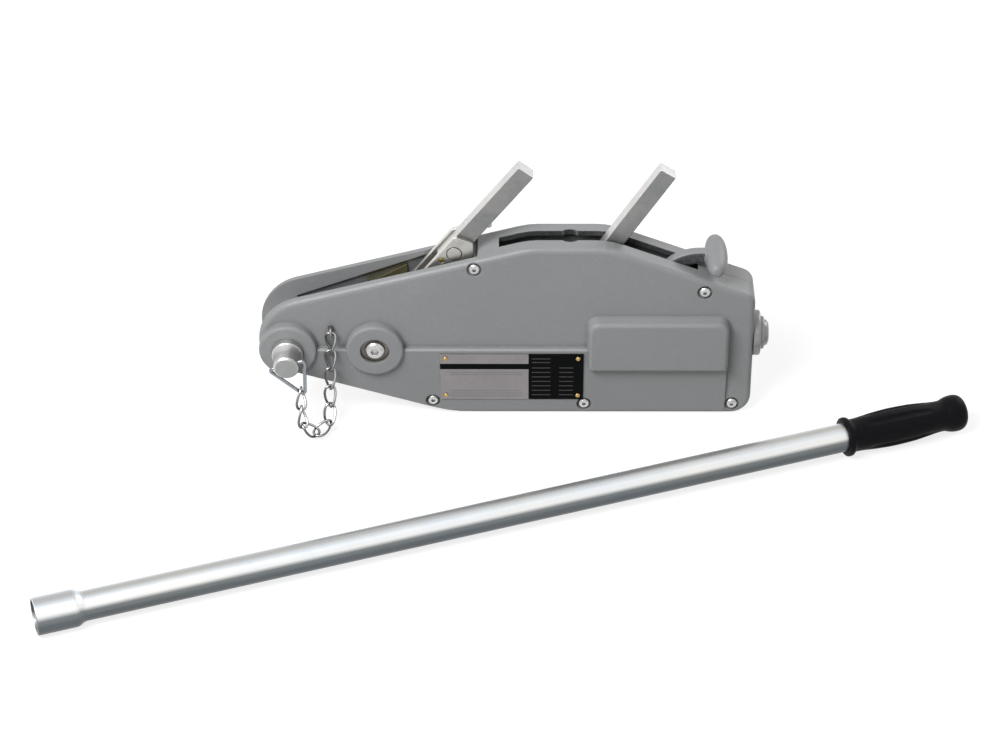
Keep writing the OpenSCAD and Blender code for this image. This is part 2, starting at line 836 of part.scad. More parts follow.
// Anchor pin and clip
module anchor_pin() {
    shank = boss_half + anchor_out;
    head = boss_half + 0.3;
    color("#b5b4a4")
        difference() {
            turned_y(anchor_x, axis_h)
                polygon([
                    [0, -head - anchor_head_t], [anchor_head_r - 1, -head - anchor_head_t],
                    [anchor_head_r, -head - anchor_head_t + 1], [anchor_head_r, -head],
                    [anchor_r, -head], [anchor_r, shank - anchor_taper_l],
                    [anchor_r - 0.7, shank - anchor_taper_l + 0.6],
                    [0.6 * tip_r + 0.4 * anchor_r - 0.3, shank - anchor_taper_l / 2], [tip_r, shank],
                    [tip_r, shank + tip_l - 1.5], [tip_r - 1.5, shank + tip_l], [0, shank + tip_l]
                ]);
            translate([anchor_x, clip_y, axis_h])
                rotate([0, 90 - clip_tilt, 0]) cylinder(r = clip_r + run, h = 4 * tip_r, center = true);
        }
}

// A closed loop of round wire with bent corners, in X and Z
wire_sides = 10;
module wire_loop(p, bend, r) {
    line = rounded(p, [for (q = p) bend]);
    n = len(line);
    points = [
        for (i = [0:n - 1])
            let (
                d = unit(after(line, i) - before(line, i)),
                out = [d.y, -d.x]
            )
            for (k = [0:wire_sides - 1])
                let (a = 360 * k / wire_sides)
                [line[i].x + r * out.x * cos(a), r * sin(a), line[i].y + r * out.y * cos(a)]
    ];
    function at(i, k) = (i % n) * wire_sides + k % wire_sides;
    polyhedron(points, [
        for (i = [0:n - 1], k = [0:wire_sides - 1])
            each [[at(i, k), at(i + 1, k), at(i + 1, k + 1)], [at(i, k), at(i + 1, k + 1), at(i, k + 1)]]
    ]);
}

clip_reach = tip_r + 5.5;
clip_bend = 2.2;
module anchor_clip() {
    across = [cos(clip_tilt), sin(clip_tilt)];
    color("#bfc2c4")
        translate([anchor_x, clip_y, axis_h])
            wire_loop([-clip_reach * across, [14.5, -31], clip_reach * across], clip_bend, clip_r);
}

// Forward lever
hub_r = 17;
lobe_r = drive_r + 4.5;
shear_at = [[-4.5, lever_pin_u - 11.6], [4.5, lever_pin_u - 11.6]];
detent_u = lever_pin_u + 35;
cheek_w = 19;
bar_foot = 17;

// A cheek of the fork: hub, strap, drive pin lobe and the shoulder beside the lever pin
module cheek(top) {
    difference() {
        slab(cheek_in, cheek_out) {
            circle(r = hub_r);
            translate([-cheek_w / 2, 0]) square([cheek_w, lever_pin_u]);
            translate([0, -crank_r]) circle(r = lobe_r);
            translate([-lobe_r, -crank_r]) square([2 * lobe_r, crank_r]);
            polygon(top);
        }
        pin_y(0, 0, 0, cheek_out + 1, stud_r + run);
        for (u = [crank_r, -crank_r])
            pin_y(0, u, 0, cheek_out + 1, drive_r + seat);
        pin_y(0, lever_pin_u, 0, cheek_out + 1, lever_pin_r + seat);
        for (at = shear_at)
            pin_y(at.x, at.y, 0, cheek_out + 1, shear_r + seat);
    }
}

module front_cheek() {
    top = rounded([
        [-cheek_w / 2, lever_pin_u - 24], [cheek_w / 2, lever_pin_u - 24], [13, lever_pin_u - 3],
        [13, lever_pin_u + 9], [6, lever_pin_u + 17.5], [-cheek_w / 2, lever_pin_u + 13]
    ], [1, 8, 6, 4, 3, 3]);
    color("#b7b6ad") on_forward() cheek(top);
}

module rear_cheek() {
    top = rounded([
        [-cheek_w / 2, lever_pin_u - 24], [cheek_w / 2, lever_pin_u - 24], [13, lever_pin_u - 3],
        [13, lever_pin_u + 15], [-cheek_w / 2, lever_pin_u + 15]
    ], [1, 8, 6, 10, 9]);
    color("#b7b6ad") on_forward() mirror([0, 1, 0]) cheek(top);
}

module forward_lever_bar() {
    foot = lever_pin_u - bar_foot;
    color("#bdbcb6")
        on_forward()
            difference() {
                slab(-bar_half, bar_half)
                    polygon(rounded([
                        [-bar_w / 2, foot], [bar_w / 2, foot],
                        [bar_w / 2, forward_l], [-bar_w / 2, forward_l]
                    ], [5, 5, 1, 1]));
                pin_y(0, lever_pin_u, -bar_t, bar_t, lever_pin_r + seat);
                for (at = shear_at)
                    pin_y(at.x, at.y, -bar_t, bar_t, shear_r + seat);
                translate([bar_w / 2 - 7, 0, detent_u])
                    rotate([0, 90, 0]) cylinder(r = detent_r + run, h = 8);
            }
}

module lever_pin() {
    color("#a3a59c") on_forward() pin_y(0, lever_pin_u, -cheek_out - 0.4, cheek_out + 0.4, lever_pin_r);
}

module shear_pins() {
    color("#9a9c98")
        on_forward()
            for (at = shear_at)
                pin_y(at.x, at.y, -cheek_out, cheek_out, shear_r);
}

module drive_pins() {
    color("#8f918d")
        on_forward() {
            pin_y(0, crank_r, -front_plate_out - 0.1, front_plate_out + 0.1, drive_r);
            pin_y(0, -crank_r, -rear_plate_out - 0.1, rear_plate_out + 0.1, drive_r);
        }
}

module detent_button() {
    color("#9a9d9f")
        on_forward()
            translate([bar_w / 2, 0, detent_u])
                rotate([0, 90, 0])
                    rotate_extrude()
                        polygon([
                            [0, -3], [detent_r, -3], [detent_r, detent_out - 1.6],
                            [detent_r * 0.8, detent_out - 0.6], [detent_r * 0.45, detent_out], [0, detent_out]
                        ]);
}

// Jaw carriages
yoke_w = drive_r + slot_play + 4;
crank_x = crank_r * sin(forward_rest);
crank_low = crank_r * cos(forward_rest) - drive_r - slot_play;
crank_high = crank_r + drive_r + slot_play;

// The four pins of a carriage, as places along X and Z
function jaw_pins_at(x) = [
    for (s = [-1, 1], z = [-1, 1])
        [x + jaw_l / 2 + s * jaw_pin_pitch / 2, axis_h + z * jaw_pin_up]
];

// One jaw plate: a frame beside the jaws, and an arm with the slot for its drive pin above or below
module jaw_plate(x, yoke_x, side, d0, d1) {
    x0 = x - plate_margin;
    x1 = x + jaw_l + plate_margin;
    arm_in = crank_low - 1.5;
    arm_out = crank_high + 3.2;
    arm_at = side > 0 ? axis_h + arm_in : axis_h - arm_out;
    difference() {
        slab(d0, d1) {
            polygon(rounded([
                [x0, axis_h - plate_half_h], [x1, axis_h - plate_half_h],
                [x1, axis_h + plate_half_h], [x0, axis_h + plate_half_h]
            ], [6, 6, 6, 6]));
            translate([yoke_x - yoke_w, arm_at])
                square([2 * yoke_w, arm_out - arm_in]);
            translate([yoke_x, side > 0 ? axis_h + arm_in : axis_h - plate_half_h])
                square([x0 - yoke_x + 12, plate_half_h - arm_in]);
        }
        translate([yoke_x - drive_r - slot_play, -d1 - 1, side > 0 ? axis_h + crank_low : axis_h - crank_high])
            cube([2 * (drive_r + slot_play), d1 - d0 + 2, crank_high - crank_low]);
        for (at = jaw_pins_at(x))
            pin_y(at.x, at.y, d0 - 1, d1 + 1, jaw_pin_r + seat);
        // The window beside the rope
        translate([x + jaw_l / 2 - 12, -d1 - 1, axis_h - 6]) cube([24, d1 - d0 + 2, 12]);
    }
}

module front_jaw_plates() {
    color("#8f8c58")
        both_sides() jaw_plate(front_jaw_x, pivot_x + crank_x, 1, front_plate_in, front_plate_out);
}

module rear_jaw_plates() {
    color("#8f8c58")
        both_sides() jaw_plate(rear_jaw_x, pivot_x - crank_x, -1, rear_plate_in, rear_plate_out);
}

module front_jaw_pins() {
    color("#9a9c98")
        for (at = jaw_pins_at(front_jaw_x))
            pin_y(at.x, at.y, -front_plate_out, front_plate_out, jaw_pin_r);
}

// The rear carriage is wider, so its pins carry collars between jaws and plates
module rear_jaw_pins() {
    color("#9a9c98")
        for (at = jaw_pins_at(rear_jaw_x)) {
            pin_y(at.x, at.y, -rear_plate_out, rear_plate_out, jaw_pin_r);
            both_sides()
                pin_y(at.x, at.y, jaw_half + slide_gap, rear_plate_in - seat, jaw_pin_r + 2);
        }
}

// A jaw above (side 1) or below (side -1) the rope, free to open along its slotted holes
module jaw(x, side) {
    face = axis_h + side * jaw_gap / 2;
    difference() {
        translate([x, -jaw_half, side > 0 ? face : face - jaw_h]) cube([jaw_l, 2 * jaw_half, jaw_h]);
        translate([x - 1, 0, axis_h]) rotate([0, 90, 0]) cylinder(r = rope_r + 0.25, h = jaw_l + 2);
        translate([x - 0.1, 0, axis_h]) rotate([0, 90, 0]) cylinder(r1 = rope_r + 4, r2 = rope_r, h = 6);
        translate([x + jaw_l - 5.9, 0, axis_h])
            rotate([0, 90, 0]) cylinder(r1 = rope_r, r2 = rope_r + 4, h = 6);
        for (at = jaw_pins_at(x))
            if (side * (at.y - axis_h) > 0) {
                r = jaw_pin_r + slide_gap;
                low = side > 0 ? at.y - jaw_lift : at.y;
                pin_y(at.x, low, -jaw_half - 1, jaw_half + 1, r);
                pin_y(at.x, low + jaw_lift, -jaw_half - 1, jaw_half + 1, r);
                translate([at.x - r, -jaw_half - 1, low]) cube([2 * r, 2 * jaw_half + 2, jaw_lift]);
            }
    }
}

module front_upper_jaw() { color("#7b7d80") jaw(front_jaw_x, 1); }
module front_lower_jaw() { color("#7b7d80") jaw(front_jaw_x, -1); }
module rear_upper_jaw() { color("#7b7d80") jaw(rear_jaw_x, 1); }
module rear_lower_jaw() { color("#7b7d80") jaw(rear_jaw_x, -1); }

// Reverse lever and link
reverse_hub_r = reverse_axle_r + 4;
reverse_collar_r = reverse_axle_r + 2;
toe_half = 2.5;
toe_r = 4;
module reverse_lever() {
    color("#bdbcb6")
        on_reverse()
            difference() {
                union() {
                    slab(-bar_half, bar_half) {
                        circle(r = reverse_hub_r);
                        polygon(rounded([
                            [-bar_w / 2, 0], [bar_w / 2, 0],
                            [bar_w / 2, reverse_l], [-bar_w / 2, reverse_l]
                        ], [1, 1, 1, 1]));
                    }
                    slab(-toe_half, toe_half) {
                        translate([0, -toe_l]) circle(r = toe_r);
                        translate([-toe_r, -toe_l]) square([2 * toe_r, toe_l]);
                    }
                }
                pin_y(0, 0, -bar_t, bar_t, reverse_axle_r + run);
            }
}

link_low = axis_h + jaw_gap / 2 + jaw_h + jaw_lift + 0.6;
link_t = 5.1;
toe_x = reverse_x - toe_l * sin(reverse_rest);
module reverse_link() {
    half = bar_half - 0.4;
    hole = toe_r + slot_play;
    left = front_jaw_x + 18;
    color("#8f8c58")
        difference() {
            translate([left, -half, link_low]) cube([toe_x + hole + 5 - left, 2 * half, link_t]);
            translate([toe_x - hole, -toe_half - slide_gap, link_low - 1])
                cube([2 * hole, 2 * (toe_half + slide_gap), link_t + 2]);
        }
}

// Release lever: hub, rising arm, bend and T grip in one casting
grip_x = nose_x + grip_in;
grip_gap = 4.4;
grip_z = top_z(grip_x) + (grip_r + grip_gap) / cos(tail_slope);
bend_c = [grip_x - 13.5, grip_z - release_bend];
to_pivot = [release_x, release_z] - bend_c;
bend_end = (atan2(to_pivot.y, to_pivot.x) + 360) % 360 - acos(release_bend / norm(to_pivot));
release_hub_r = release_axle_r + 4.5;
release_pin_r = 3;
release_pin_x = release_x - release_arm_l * sin(release_arm_lean);
release_pin_z = release_z - release_arm_l * cos(release_arm_lean);

// The arm's line from the pivot round the bend to the grip, and the rounded section that follows it
arm_steps = 8;
arm_sides = 12;
arm_line = [
    [release_x, release_z],
    for (i = [0:arm_steps])
        let (a = bend_end + (90 - bend_end) * i / arm_steps)
        bend_c + release_bend * [cos(a), sin(a)],
    [grip_x, grip_z]
];
function soft(v) = sign(v) * pow(abs(v), 0.4);
module swept_arm() {
    n = len(arm_line);
    points = [
        for (i = [0:n - 1])
            let (
                d = unit(arm_line[min(i + 1, n - 1)] - arm_line[max(i - 1, 0)]),
                out = [d.y, -d.x]
            )
            for (k = [0:arm_sides - 1])
                let (
                    a = 360 * (k + 0.5) / arm_sides,
                    u = soft(cos(a)) * release_w / 2
                )
                [arm_line[i].x + u * out.x, soft(sin(a)) * release_t / 2, arm_line[i].y + u * out.y]
    ];
    polyhedron(points, [
        [for (k = [0:arm_sides - 1]) k],
        for (i = [0:n - 2], k = [0:arm_sides - 1])
            let (m = (k + 1) % arm_sides, a = i * arm_sides, b = a + arm_sides)
            each [[a + k, b + k, b + m], [a + k, b + m, a + m]],
        [for (k = [arm_sides - 1:-1:0]) (n - 1) * arm_sides + k]
    ]);
}

module release_lever() {
    color("#8a8c8e")
        difference() {
            union() {
                pin_y(release_x, release_z, -release_t / 2, release_t / 2, release_hub_r);
                swept_arm();
                turned_y(grip_x, grip_z)
                    polygon([
                        for (a = [-90:10:90])
                            [abs(a) == 90 ? 0 : grip_r * pow(cos(a), 0.65), grip_l / 2 * sin(a)]
                    ]);
                translate([release_x, 0, release_z])
                    rotate([0, release_arm_lean, 0])
                        slab(0.5 - release_t / 2, release_t / 2 - 0.5) {
                            translate([0, -release_arm_l]) circle(r = release_pin_r + 2.6);
                            translate([-release_pin_r - 2, -release_arm_l])
                                square([2 * (release_pin_r + 2), release_arm_l]);
                        }
            }
            pin_y(release_x, release_z, -release_t, release_t, release_axle_r + run);
            pin_y(release_pin_x, release_pin_z, -release_t, release_t, release_pin_r + seat);
        }
}

module release_pin() {
    color("#9a9c98") pin_y(release_pin_x, release_pin_z, -strip_out, strip_out, release_pin_r);
}

// Release bar: two strips over the jaws, tied at both ends, with the rod of the release spring
strip_h = 7.6;
tie_t = 4;
tie_in = 11;
tie_x = release_x + tie_in;
strip_low = link_low;
strip_left = front_jaw_x - 4;
module release_bar() {
    slot_low = release_pin_z - release_pin_r - slot_play - release_arm_l * (1 - cos(release_arm_lean));
    lug_high = release_pin_z + release_pin_r + 2.6;
    color("#8f8c58") {
        both_sides()
            difference() {
                slab(strip_in, strip_out) {
                    translate([strip_left, strip_low]) square([tie_x + tie_t - strip_left, strip_h]);
                    translate([release_pin_x - 8, strip_low]) square([16, lug_high - strip_low]);
                }
                translate([release_pin_x - release_pin_r - slot_play, -strip_out - 1, slot_low])
                    cube([2 * (release_pin_r + slot_play), strip_t + 2, casing_h]);
            }
        for (x = [strip_left, tie_x])
            translate([x, -strip_in - 0.5, strip_low]) cube([tie_t, 2 * strip_in + 1, strip_h]);
        translate([tie_x + tie_t - 1, 0, spring_z])
            rotate([0, 90, 0]) cylinder(r = rod_r, h = post_x - tie_x - tie_t - 1);
    }
}

// Release spring: one helix of round wire between the bar's tie and the post
spring_r = 2.9;
spring_wire_r = 0.55;
spring_turns = 9;
spring_rings = 8;
spring_sides = 6;
spring_l = post_x - tie_x - tie_t - 2 * spring_wire_r - 0.6;
function spring_line(t) = [t * spring_l, spring_r * cos(360 * t * spring_turns), spring_r * sin(360 * t * spring_turns)];
echo(spring_gap = spring_l / spring_turns - 2 * spring_wire_r);
module release_spring() {
    rings = spring_turns * spring_rings;
    points = [
        for (i = [0:rings])
            let (
                c = spring_line(i / rings),
                d = unit(spring_line((i + 0.1) / rings) - spring_line((i - 0.1) / rings)),
                side = unit([0, c.y, c.z]),
                up = cross(d, side)
            )
            for (k = [0:spring_sides - 1])
                c + spring_wire_r * (side * cos(360 * k / spring_sides) + up * sin(360 * k / spring_sides))
    ];
    faces = [
        [for (k = [0:spring_sides - 1]) k],
        for (i = [0:rings - 1], k = [0:spring_sides - 1])
            let (m = (k + 1) % spring_sides, a = i * spring_sides, b = a + spring_sides)
            each [[a + k, b + k, b + m], [a + k, b + m, a + m]],
        [for (k = [spring_sides - 1:-1:0]) rings * spring_sides + k]
    ];
    color("#9ea2a5")
        translate([tie_x + tie_t + spring_wire_r + 0.3, 0, spring_z])
            polyhedron(points, faces);
}

// Handle: lies on the floor in front, on its socket and on the grip's flange
handle_at = [-368, -303];
flange_at = handle_l - rubber_l;
handle_tilt = atan((rubber_r - socket_r) / flange_at);
module on_handle() {
    translate([handle_at.x, handle_at.y, socket_r / cos(handle_tilt)])
        rotate([0, -handle_tilt, handle_turn])
            rotate([0, 90, 0])
                children();
}

module handle_tube() {
    taper = 8;
    step = socket_r - tube_r;
    color("#b9bbb6")
        on_handle()
            rotate_extrude()
                polygon([
                    [socket_r - tube_wall, 0], [socket_r - 0.5, 0], [socket_r, 0.5], [socket_r, socket_l],
                    [socket_r - step * 0.15, socket_l + taper * 0.25],
                    [tube_r + step * 0.15, socket_l + taper * 0.75], [tube_r, socket_l + taper],
                    [tube_r, handle_l - 4], [tube_r - tube_wall, handle_l - 4],
                    [tube_r - tube_wall, socket_l + taper], [socket_r - tube_wall, socket_l]
                ]);
}

// Rubber grip: flange, neck, belly, neck and rounded end, with flutes along the belly
flute_n = 8;
flute_in = 14;
module handle_grip() {
    bore = tube_r + seat;
    end = rubber_l;
    color("#1d1e20")
        on_handle()
            translate([0, 0, flange_at])
                difference() {
                    rotate_extrude()
                        polygon([
                            [bore, 0], [rubber_r - 1, 0], [rubber_r, 1], [rubber_r, 4], [rubber_r - 1, 5.2],
                            [rubber_r - 2.7, 6.4], [rubber_r - 2.7, 12], [rubber_r - 1.3, 28],
                            [rubber_r - 0.6, 44], [rubber_r - 1, 60], [rubber_r - 2.3, 74],
                            [rubber_r - 3.5, end - 24], [rubber_r - 3.4, end - 20], [rubber_r - 1.6, end - 15],
                            [rubber_r - 1, end - 9], [rubber_r - 2, end - 4], [rubber_r - 5, end - 1],
                            [rubber_r - 9, end], [0, end], [0, end - 3.9], [bore, end - 3.9]
                        ]);
                    for (k = [0:flute_n - 1])
                        rotate([0, 0, 360 * (k + 0.5) / flute_n])
                            translate([rubber_r + 1.7, 0, flute_in])
                                cylinder(r = 3.4, h = end - 3 * flute_in);
                }
}

front_casing();
rear_casing();
casing_screws();
casing_nuts();
pivot_studs();
pivot_washers();
pivot_screws();
wear_plates();
reverse_axle();
release_axle();
rope_guide();
nameplate();
nameplate_rivets();
chain_eye();
pin_chain();
anchor_pin();
anchor_clip();
front_cheek();
rear_cheek();
forward_lever_bar();
lever_pin();
shear_pins();
drive_pins();
detent_button();
front_jaw_plates();
front_jaw_pins();
front_upper_jaw();
front_lower_jaw();
rear_jaw_plates();
rear_jaw_pins();
rear_upper_jaw();
rear_lower_jaw();
reverse_lever();
reverse_link();
release_lever();
release_pin();
release_bar();
release_spring();
handle_tube();
handle_grip();
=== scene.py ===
import json
import math

import bmesh
import bpy
from mathutils import Matrix, Vector


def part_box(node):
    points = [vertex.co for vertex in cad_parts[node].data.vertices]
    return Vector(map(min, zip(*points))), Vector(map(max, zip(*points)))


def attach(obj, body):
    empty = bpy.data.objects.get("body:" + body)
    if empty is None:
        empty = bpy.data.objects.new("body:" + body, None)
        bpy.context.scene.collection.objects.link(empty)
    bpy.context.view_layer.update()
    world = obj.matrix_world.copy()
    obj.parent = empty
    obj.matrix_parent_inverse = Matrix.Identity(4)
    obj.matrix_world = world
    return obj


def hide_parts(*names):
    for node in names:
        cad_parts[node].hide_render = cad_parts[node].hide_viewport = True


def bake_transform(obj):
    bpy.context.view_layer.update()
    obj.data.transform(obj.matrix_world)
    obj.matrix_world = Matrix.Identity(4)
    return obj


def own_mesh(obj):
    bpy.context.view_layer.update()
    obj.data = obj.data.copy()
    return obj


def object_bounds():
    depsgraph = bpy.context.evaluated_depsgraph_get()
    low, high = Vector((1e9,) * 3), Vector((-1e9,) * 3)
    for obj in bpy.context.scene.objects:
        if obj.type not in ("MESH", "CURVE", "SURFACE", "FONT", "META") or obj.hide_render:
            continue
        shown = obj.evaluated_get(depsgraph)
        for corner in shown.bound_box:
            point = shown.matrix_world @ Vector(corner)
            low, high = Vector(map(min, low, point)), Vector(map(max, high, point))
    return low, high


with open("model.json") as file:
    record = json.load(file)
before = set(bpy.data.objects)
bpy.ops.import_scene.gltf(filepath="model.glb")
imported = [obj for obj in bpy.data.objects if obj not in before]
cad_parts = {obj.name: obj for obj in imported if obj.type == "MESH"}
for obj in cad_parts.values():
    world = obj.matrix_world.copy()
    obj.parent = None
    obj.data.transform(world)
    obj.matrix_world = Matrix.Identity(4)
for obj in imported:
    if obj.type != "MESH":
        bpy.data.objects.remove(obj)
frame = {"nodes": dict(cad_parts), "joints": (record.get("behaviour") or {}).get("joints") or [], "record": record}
cadNodes = frame["nodes"]
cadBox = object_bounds()
stage = bpy.context.scene
stage.view_settings.view_transform = "Standard"
mm = 0.001


# camera: the photograph's view
cameraView = {
    "target": (-0.0121, 0.0, 0.02495),
    "distance": 2.5,
    "elevation": 36.0,
    "azimuth": 0.58,
    "roll": -0.29,
    "lens": 106.02,
    "sensor": 36.0,
    "reach": (0.05, 50.0),
}


def placeCamera(view):
    tilt, turn, roll = (math.radians(view[k]) for k in ("elevation", "azimuth", "roll"))
    back = Vector((math.sin(turn) * math.cos(tilt), -math.cos(turn) * math.cos(tilt), math.sin(tilt)))
    right = (-back).cross(Vector((0, 0, 1))).normalized()
    up = right.cross(-back)
    rolledRight = right * math.cos(roll) + up * math.sin(roll)
    rolledUp = up * math.cos(roll) - right * math.sin(roll)
    lens = bpy.data.cameras.new("photoCamera")
    lens.lens = view["lens"]
    lens.sensor_width = view["sensor"]
    lens.sensor_fit = "HORIZONTAL"
    lens.clip_start, lens.clip_end = view["reach"]
    camera = bpy.data.objects.new("photoCamera", lens)
    place = Matrix((rolledRight, rolledUp, back)).transposed().to_4x4()
    place.translation = Vector(view["target"]) + back * view["distance"]
    camera.matrix_world = place
    stage.collection.objects.link(camera)
    stage.camera = camera


placeCamera(cameraView)
print("camera placed")


# small helpers for node trees and meshes
def addNode(tree, kind, settings=None, values=None):
    node = tree.nodes.new(kind)
    for name, value in (settings or {}).items():
        setattr(node, name, value)
    for name, value in (values or {}).items():
        if isinstance(value, bpy.types.NodeSocket):
            tree.links.new(value, node.inputs[name])
        else:
            node.inputs[name].default_value = value
    return node


def mathNode(tree, operation, first, second=0.0, clamp=False):
    return addNode(
        tree, "ShaderNodeMath", {"operation": operation, "use_clamp": clamp}, {0: first, 1: second}
    ).outputs[0]


def mixColor(tree, factor, first, second, blend="MIX"):
    # the Mix node takes its colours at 6 and 7, and gives one at 2
    node = addNode(
        tree, "ShaderNodeMix", {"data_type": "RGBA", "blend_type": blend}, {0: factor, 6: first, 7: second}
    )
    return node.outputs[2]


def mapRange(tree, value, low, high, toLow, toHigh):
    node = addNode(
        tree,
        "ShaderNodeMapRange",
        {"clamp": True},
        {"Value": value, "From Min": low, "From Max": high, "To Min": toLow, "To Max": toHigh},
    )
    return node.outputs["Result"]


def rgba(color):
    return (*color, 1.0)


def newGroup(name, takes, gives):
    group = bpy.data.node_groups.new(name, "ShaderNodeTree")
    for socketName, kind, value in takes:
        socket = group.interface.new_socket(socketName, in_out="INPUT", socket_type=kind)
        socket.default_value = value
    for socketName, kind in gives:
        group.interface.new_socket(socketName, in_out="OUTPUT", socket_type=kind)
    return group, group.nodes.new("NodeGroupInput"), group.nodes.new("NodeGroupOutput")


def useGroup(tree, group, values=None):
    return addNode(tree, "ShaderNodeGroup", {"node_tree": group}, values)


def coords(tree, kind):
    return addNode(tree, "ShaderNodeTexCoord").outputs[kind]


def splitCoords(tree, kind):
    return addNode(tree, "ShaderNodeSeparateXYZ", None, {0: coords(tree, kind)}).outputs


def meshPiece(name, points, faces, material, smooth=True):
    mesh = bpy.data.meshes.new(name)
    mesh.from_pydata([tuple(p) for p in points], [], faces)
    mesh.update()
    if smooth:
        mesh.polygons.foreach_set("use_smooth", [True] * len(mesh.polygons))
    piece = bpy.data.objects.new(name, mesh)
    stage.collection.objects.link(piece)
    mesh.materials.append(material)
    return piece


def bakeShape(piece, name, finish):
    # what the modifiers make becomes the piece's own mesh
    bpy.context.view_layer.update()
    made = bpy.data.meshes.new_from_object(piece.evaluated_get(bpy.context.evaluated_depsgraph_get()))
    piece.modifiers.clear()
    piece.data = made
    made.name = name
    made.materials.clear()
    made.materials.append(finish)
    return made


def dress(material, *names):
    for name in names:
        slots = cadNodes[name].data.materials
        slots.clear()
        slots.append(material)


# shared effects, each one built once; a range takes a noise or a slope to a mask
effectRanges = {
    "edgeBreak": (0.36, 0.6, 0.35, 1.0), "speckle": (0.35, 0.68, 0.0, 1.0),
    "cloud": (0.36, 0.64, 0.0, 1.0), "patch": (0.38, 0.66, 0.0, 1.0),
    "corner": (0.35, 0.8, 1.0, 0.0), "grimeAndShadeBreak": (0.3, 0.6, 0.5, 1.0),
    "flank": (0.75, 0.93, 0.0, 1.0), "ahead": (0.15, 0.4, 0.0, 1.0),
}
driftShares = {"cloud": 0.6, "patch": 0.4}
# the inside painted shade leaves out a strip at Bare
bareHalf = 0.0008  # half the width of the strip that stays bare inside the casing
floatKind, colorKind, vectorKind = "NodeSocketFloat", "NodeSocketColor", "NodeSocketVector"


def buildSoftEdges():
    # rounds the shading of edges and says where they are
    group, given, result = newGroup(
        "softEdges",
        [("Radius", floatKind, 0.001), ("Reach", floatKind, 0.25), ("Breakup", floatKind, 260.0)],
        [("Edge", floatKind), ("Normal", vectorKind)],
    )
    bevel = addNode(group, "ShaderNodeBevel", {"samples": 6}, {"Radius": given.outputs["Radius"]})
    surface = addNode(group, "ShaderNodeNewGeometry")
    spot = coords(group, "Object")
    dot = addNode(
        group, "ShaderNodeVectorMath", {"operation": "DOT_PRODUCT"},
        {0: bevel.outputs["Normal"], 1: surface.outputs["True Normal"]},
    )
    lean = mathNode(group, "SUBTRACT", 1.0, dot.outputs["Value"])
    strength = mathNode(group, "DIVIDE", lean, given.outputs["Reach"], True)
    patches = addNode(
        group, "ShaderNodeTexNoise", None,
        {"Vector": spot, "Scale": given.outputs["Breakup"], "Detail": 3.0},
    )
    broken = mapRange(group, patches.outputs["Fac"], *effectRanges["edgeBreak"])
    group.links.new(mathNode(group, "MULTIPLY", strength, broken, True), result.inputs["Edge"])
    group.links.new(bevel.outputs["Normal"], result.inputs["Normal"])
    return group


def buildFineGrain():
    # small grain, drawn out along an axis where Stretch says so
    group, given, result = newGroup(
        "fineGrain",
        [("Scale", floatKind, 800.0), ("Stretch", vectorKind, (1, 1, 1)), ("Turn", vectorKind, (0, 0, 0)),
         ("Detail", floatKind, 3.0)],
        [("Height", floatKind), ("Speckle", floatKind)],
    )
    spot = coords(group, "Object")
    turned = addNode(
        group, "ShaderNodeVectorRotate", {"rotation_type": "EULER_XYZ"},
        {"Vector": spot, "Rotation": given.outputs["Turn"]},
    )
    drawn = addNode(
        group, "ShaderNodeVectorMath", {"operation": "MULTIPLY"},
        {0: turned.outputs["Vector"], 1: given.outputs["Stretch"]},
    )
    fine = addNode(
        group, "ShaderNodeTexNoise", None,
        {"Vector": drawn.outputs["Vector"], "Scale": given.outputs["Scale"],
         "Detail": given.outputs["Detail"], "Roughness": 0.6},
    )
    group.links.new(fine.outputs["Fac"], result.inputs["Height"])
    speckle = mapRange(group, fine.outputs["Fac"], *effectRanges["speckle"])
    group.links.new(speckle, result.inputs["Speckle"])
    return group


def buildToneDrift():
    # slow change between two tones, with broad clouds and finer mottling
    group, given, result = newGroup(
        "toneDrift",
        [("First", colorKind, (0.5, 0.5, 0.5, 1)), ("Second", colorKind, (0.6, 0.6, 0.6, 1)),
         ("Scale", floatKind, 20.0), ("Mottle", floatKind, 160.0)],
        [("Color", colorKind), ("Patch", floatKind)],
    )
    spot = coords(group, "Object")
    broad = addNode(
        group, "ShaderNodeTexNoise", None,
        {"Vector": spot, "Scale": given.outputs["Scale"], "Detail": 2.0, "Distortion": 0.4},
    )
    small = addNode(
        group, "ShaderNodeTexNoise", None,
        {"Vector": spot, "Scale": given.outputs["Mottle"], "Detail": 4.0, "Roughness": 0.62},
    )
    cloud = mapRange(group, broad.outputs["Fac"], *effectRanges["cloud"])
    patch = mapRange(group, small.outputs["Fac"], *effectRanges["patch"])
    both = mathNode(
        group, "ADD",
        mathNode(group, "MULTIPLY", cloud, driftShares["cloud"]),
        mathNode(group, "MULTIPLY", patch, driftShares["patch"]),
    )
    color = mixColor(group, both, given.outputs["First"], given.outputs["Second"])
    group.links.new(color, result.inputs["Color"])
    group.links.new(patch, result.inputs["Patch"])
    return group


def buildCreviceGrime():
    # old oil and dust in corners, and painted shade: darker where ambient occlusion finds corners, hollows and
    # gaps between parts
    group, given, result = newGroup(
        "creviceGrimeAndShade",
        [("Distance", floatKind, 0.005), ("Scale", floatKind, 120.0)],
        [("GrimeAndShade", floatKind)],
    )
    shade = addNode(
        group, "ShaderNodeAmbientOcclusion", {"samples": 6}, {"Distance": given.outputs["Distance"]}
    )
    spot = coords(group, "Object")
    smear = addNode(
        group, "ShaderNodeTexNoise", None,
        {"Vector": spot, "Scale": given.outputs["Scale"], "Detail": 4.0},
    )
    depth = mapRange(group, shade.outputs["AO"], *effectRanges["corner"])
    broken = mapRange(group, smear.outputs["Fac"], *effectRanges["grimeAndShadeBreak"])
    group.links.new(mathNode(group, "MULTIPLY", depth, broken, True), result.inputs["GrimeAndShade"])
    return group


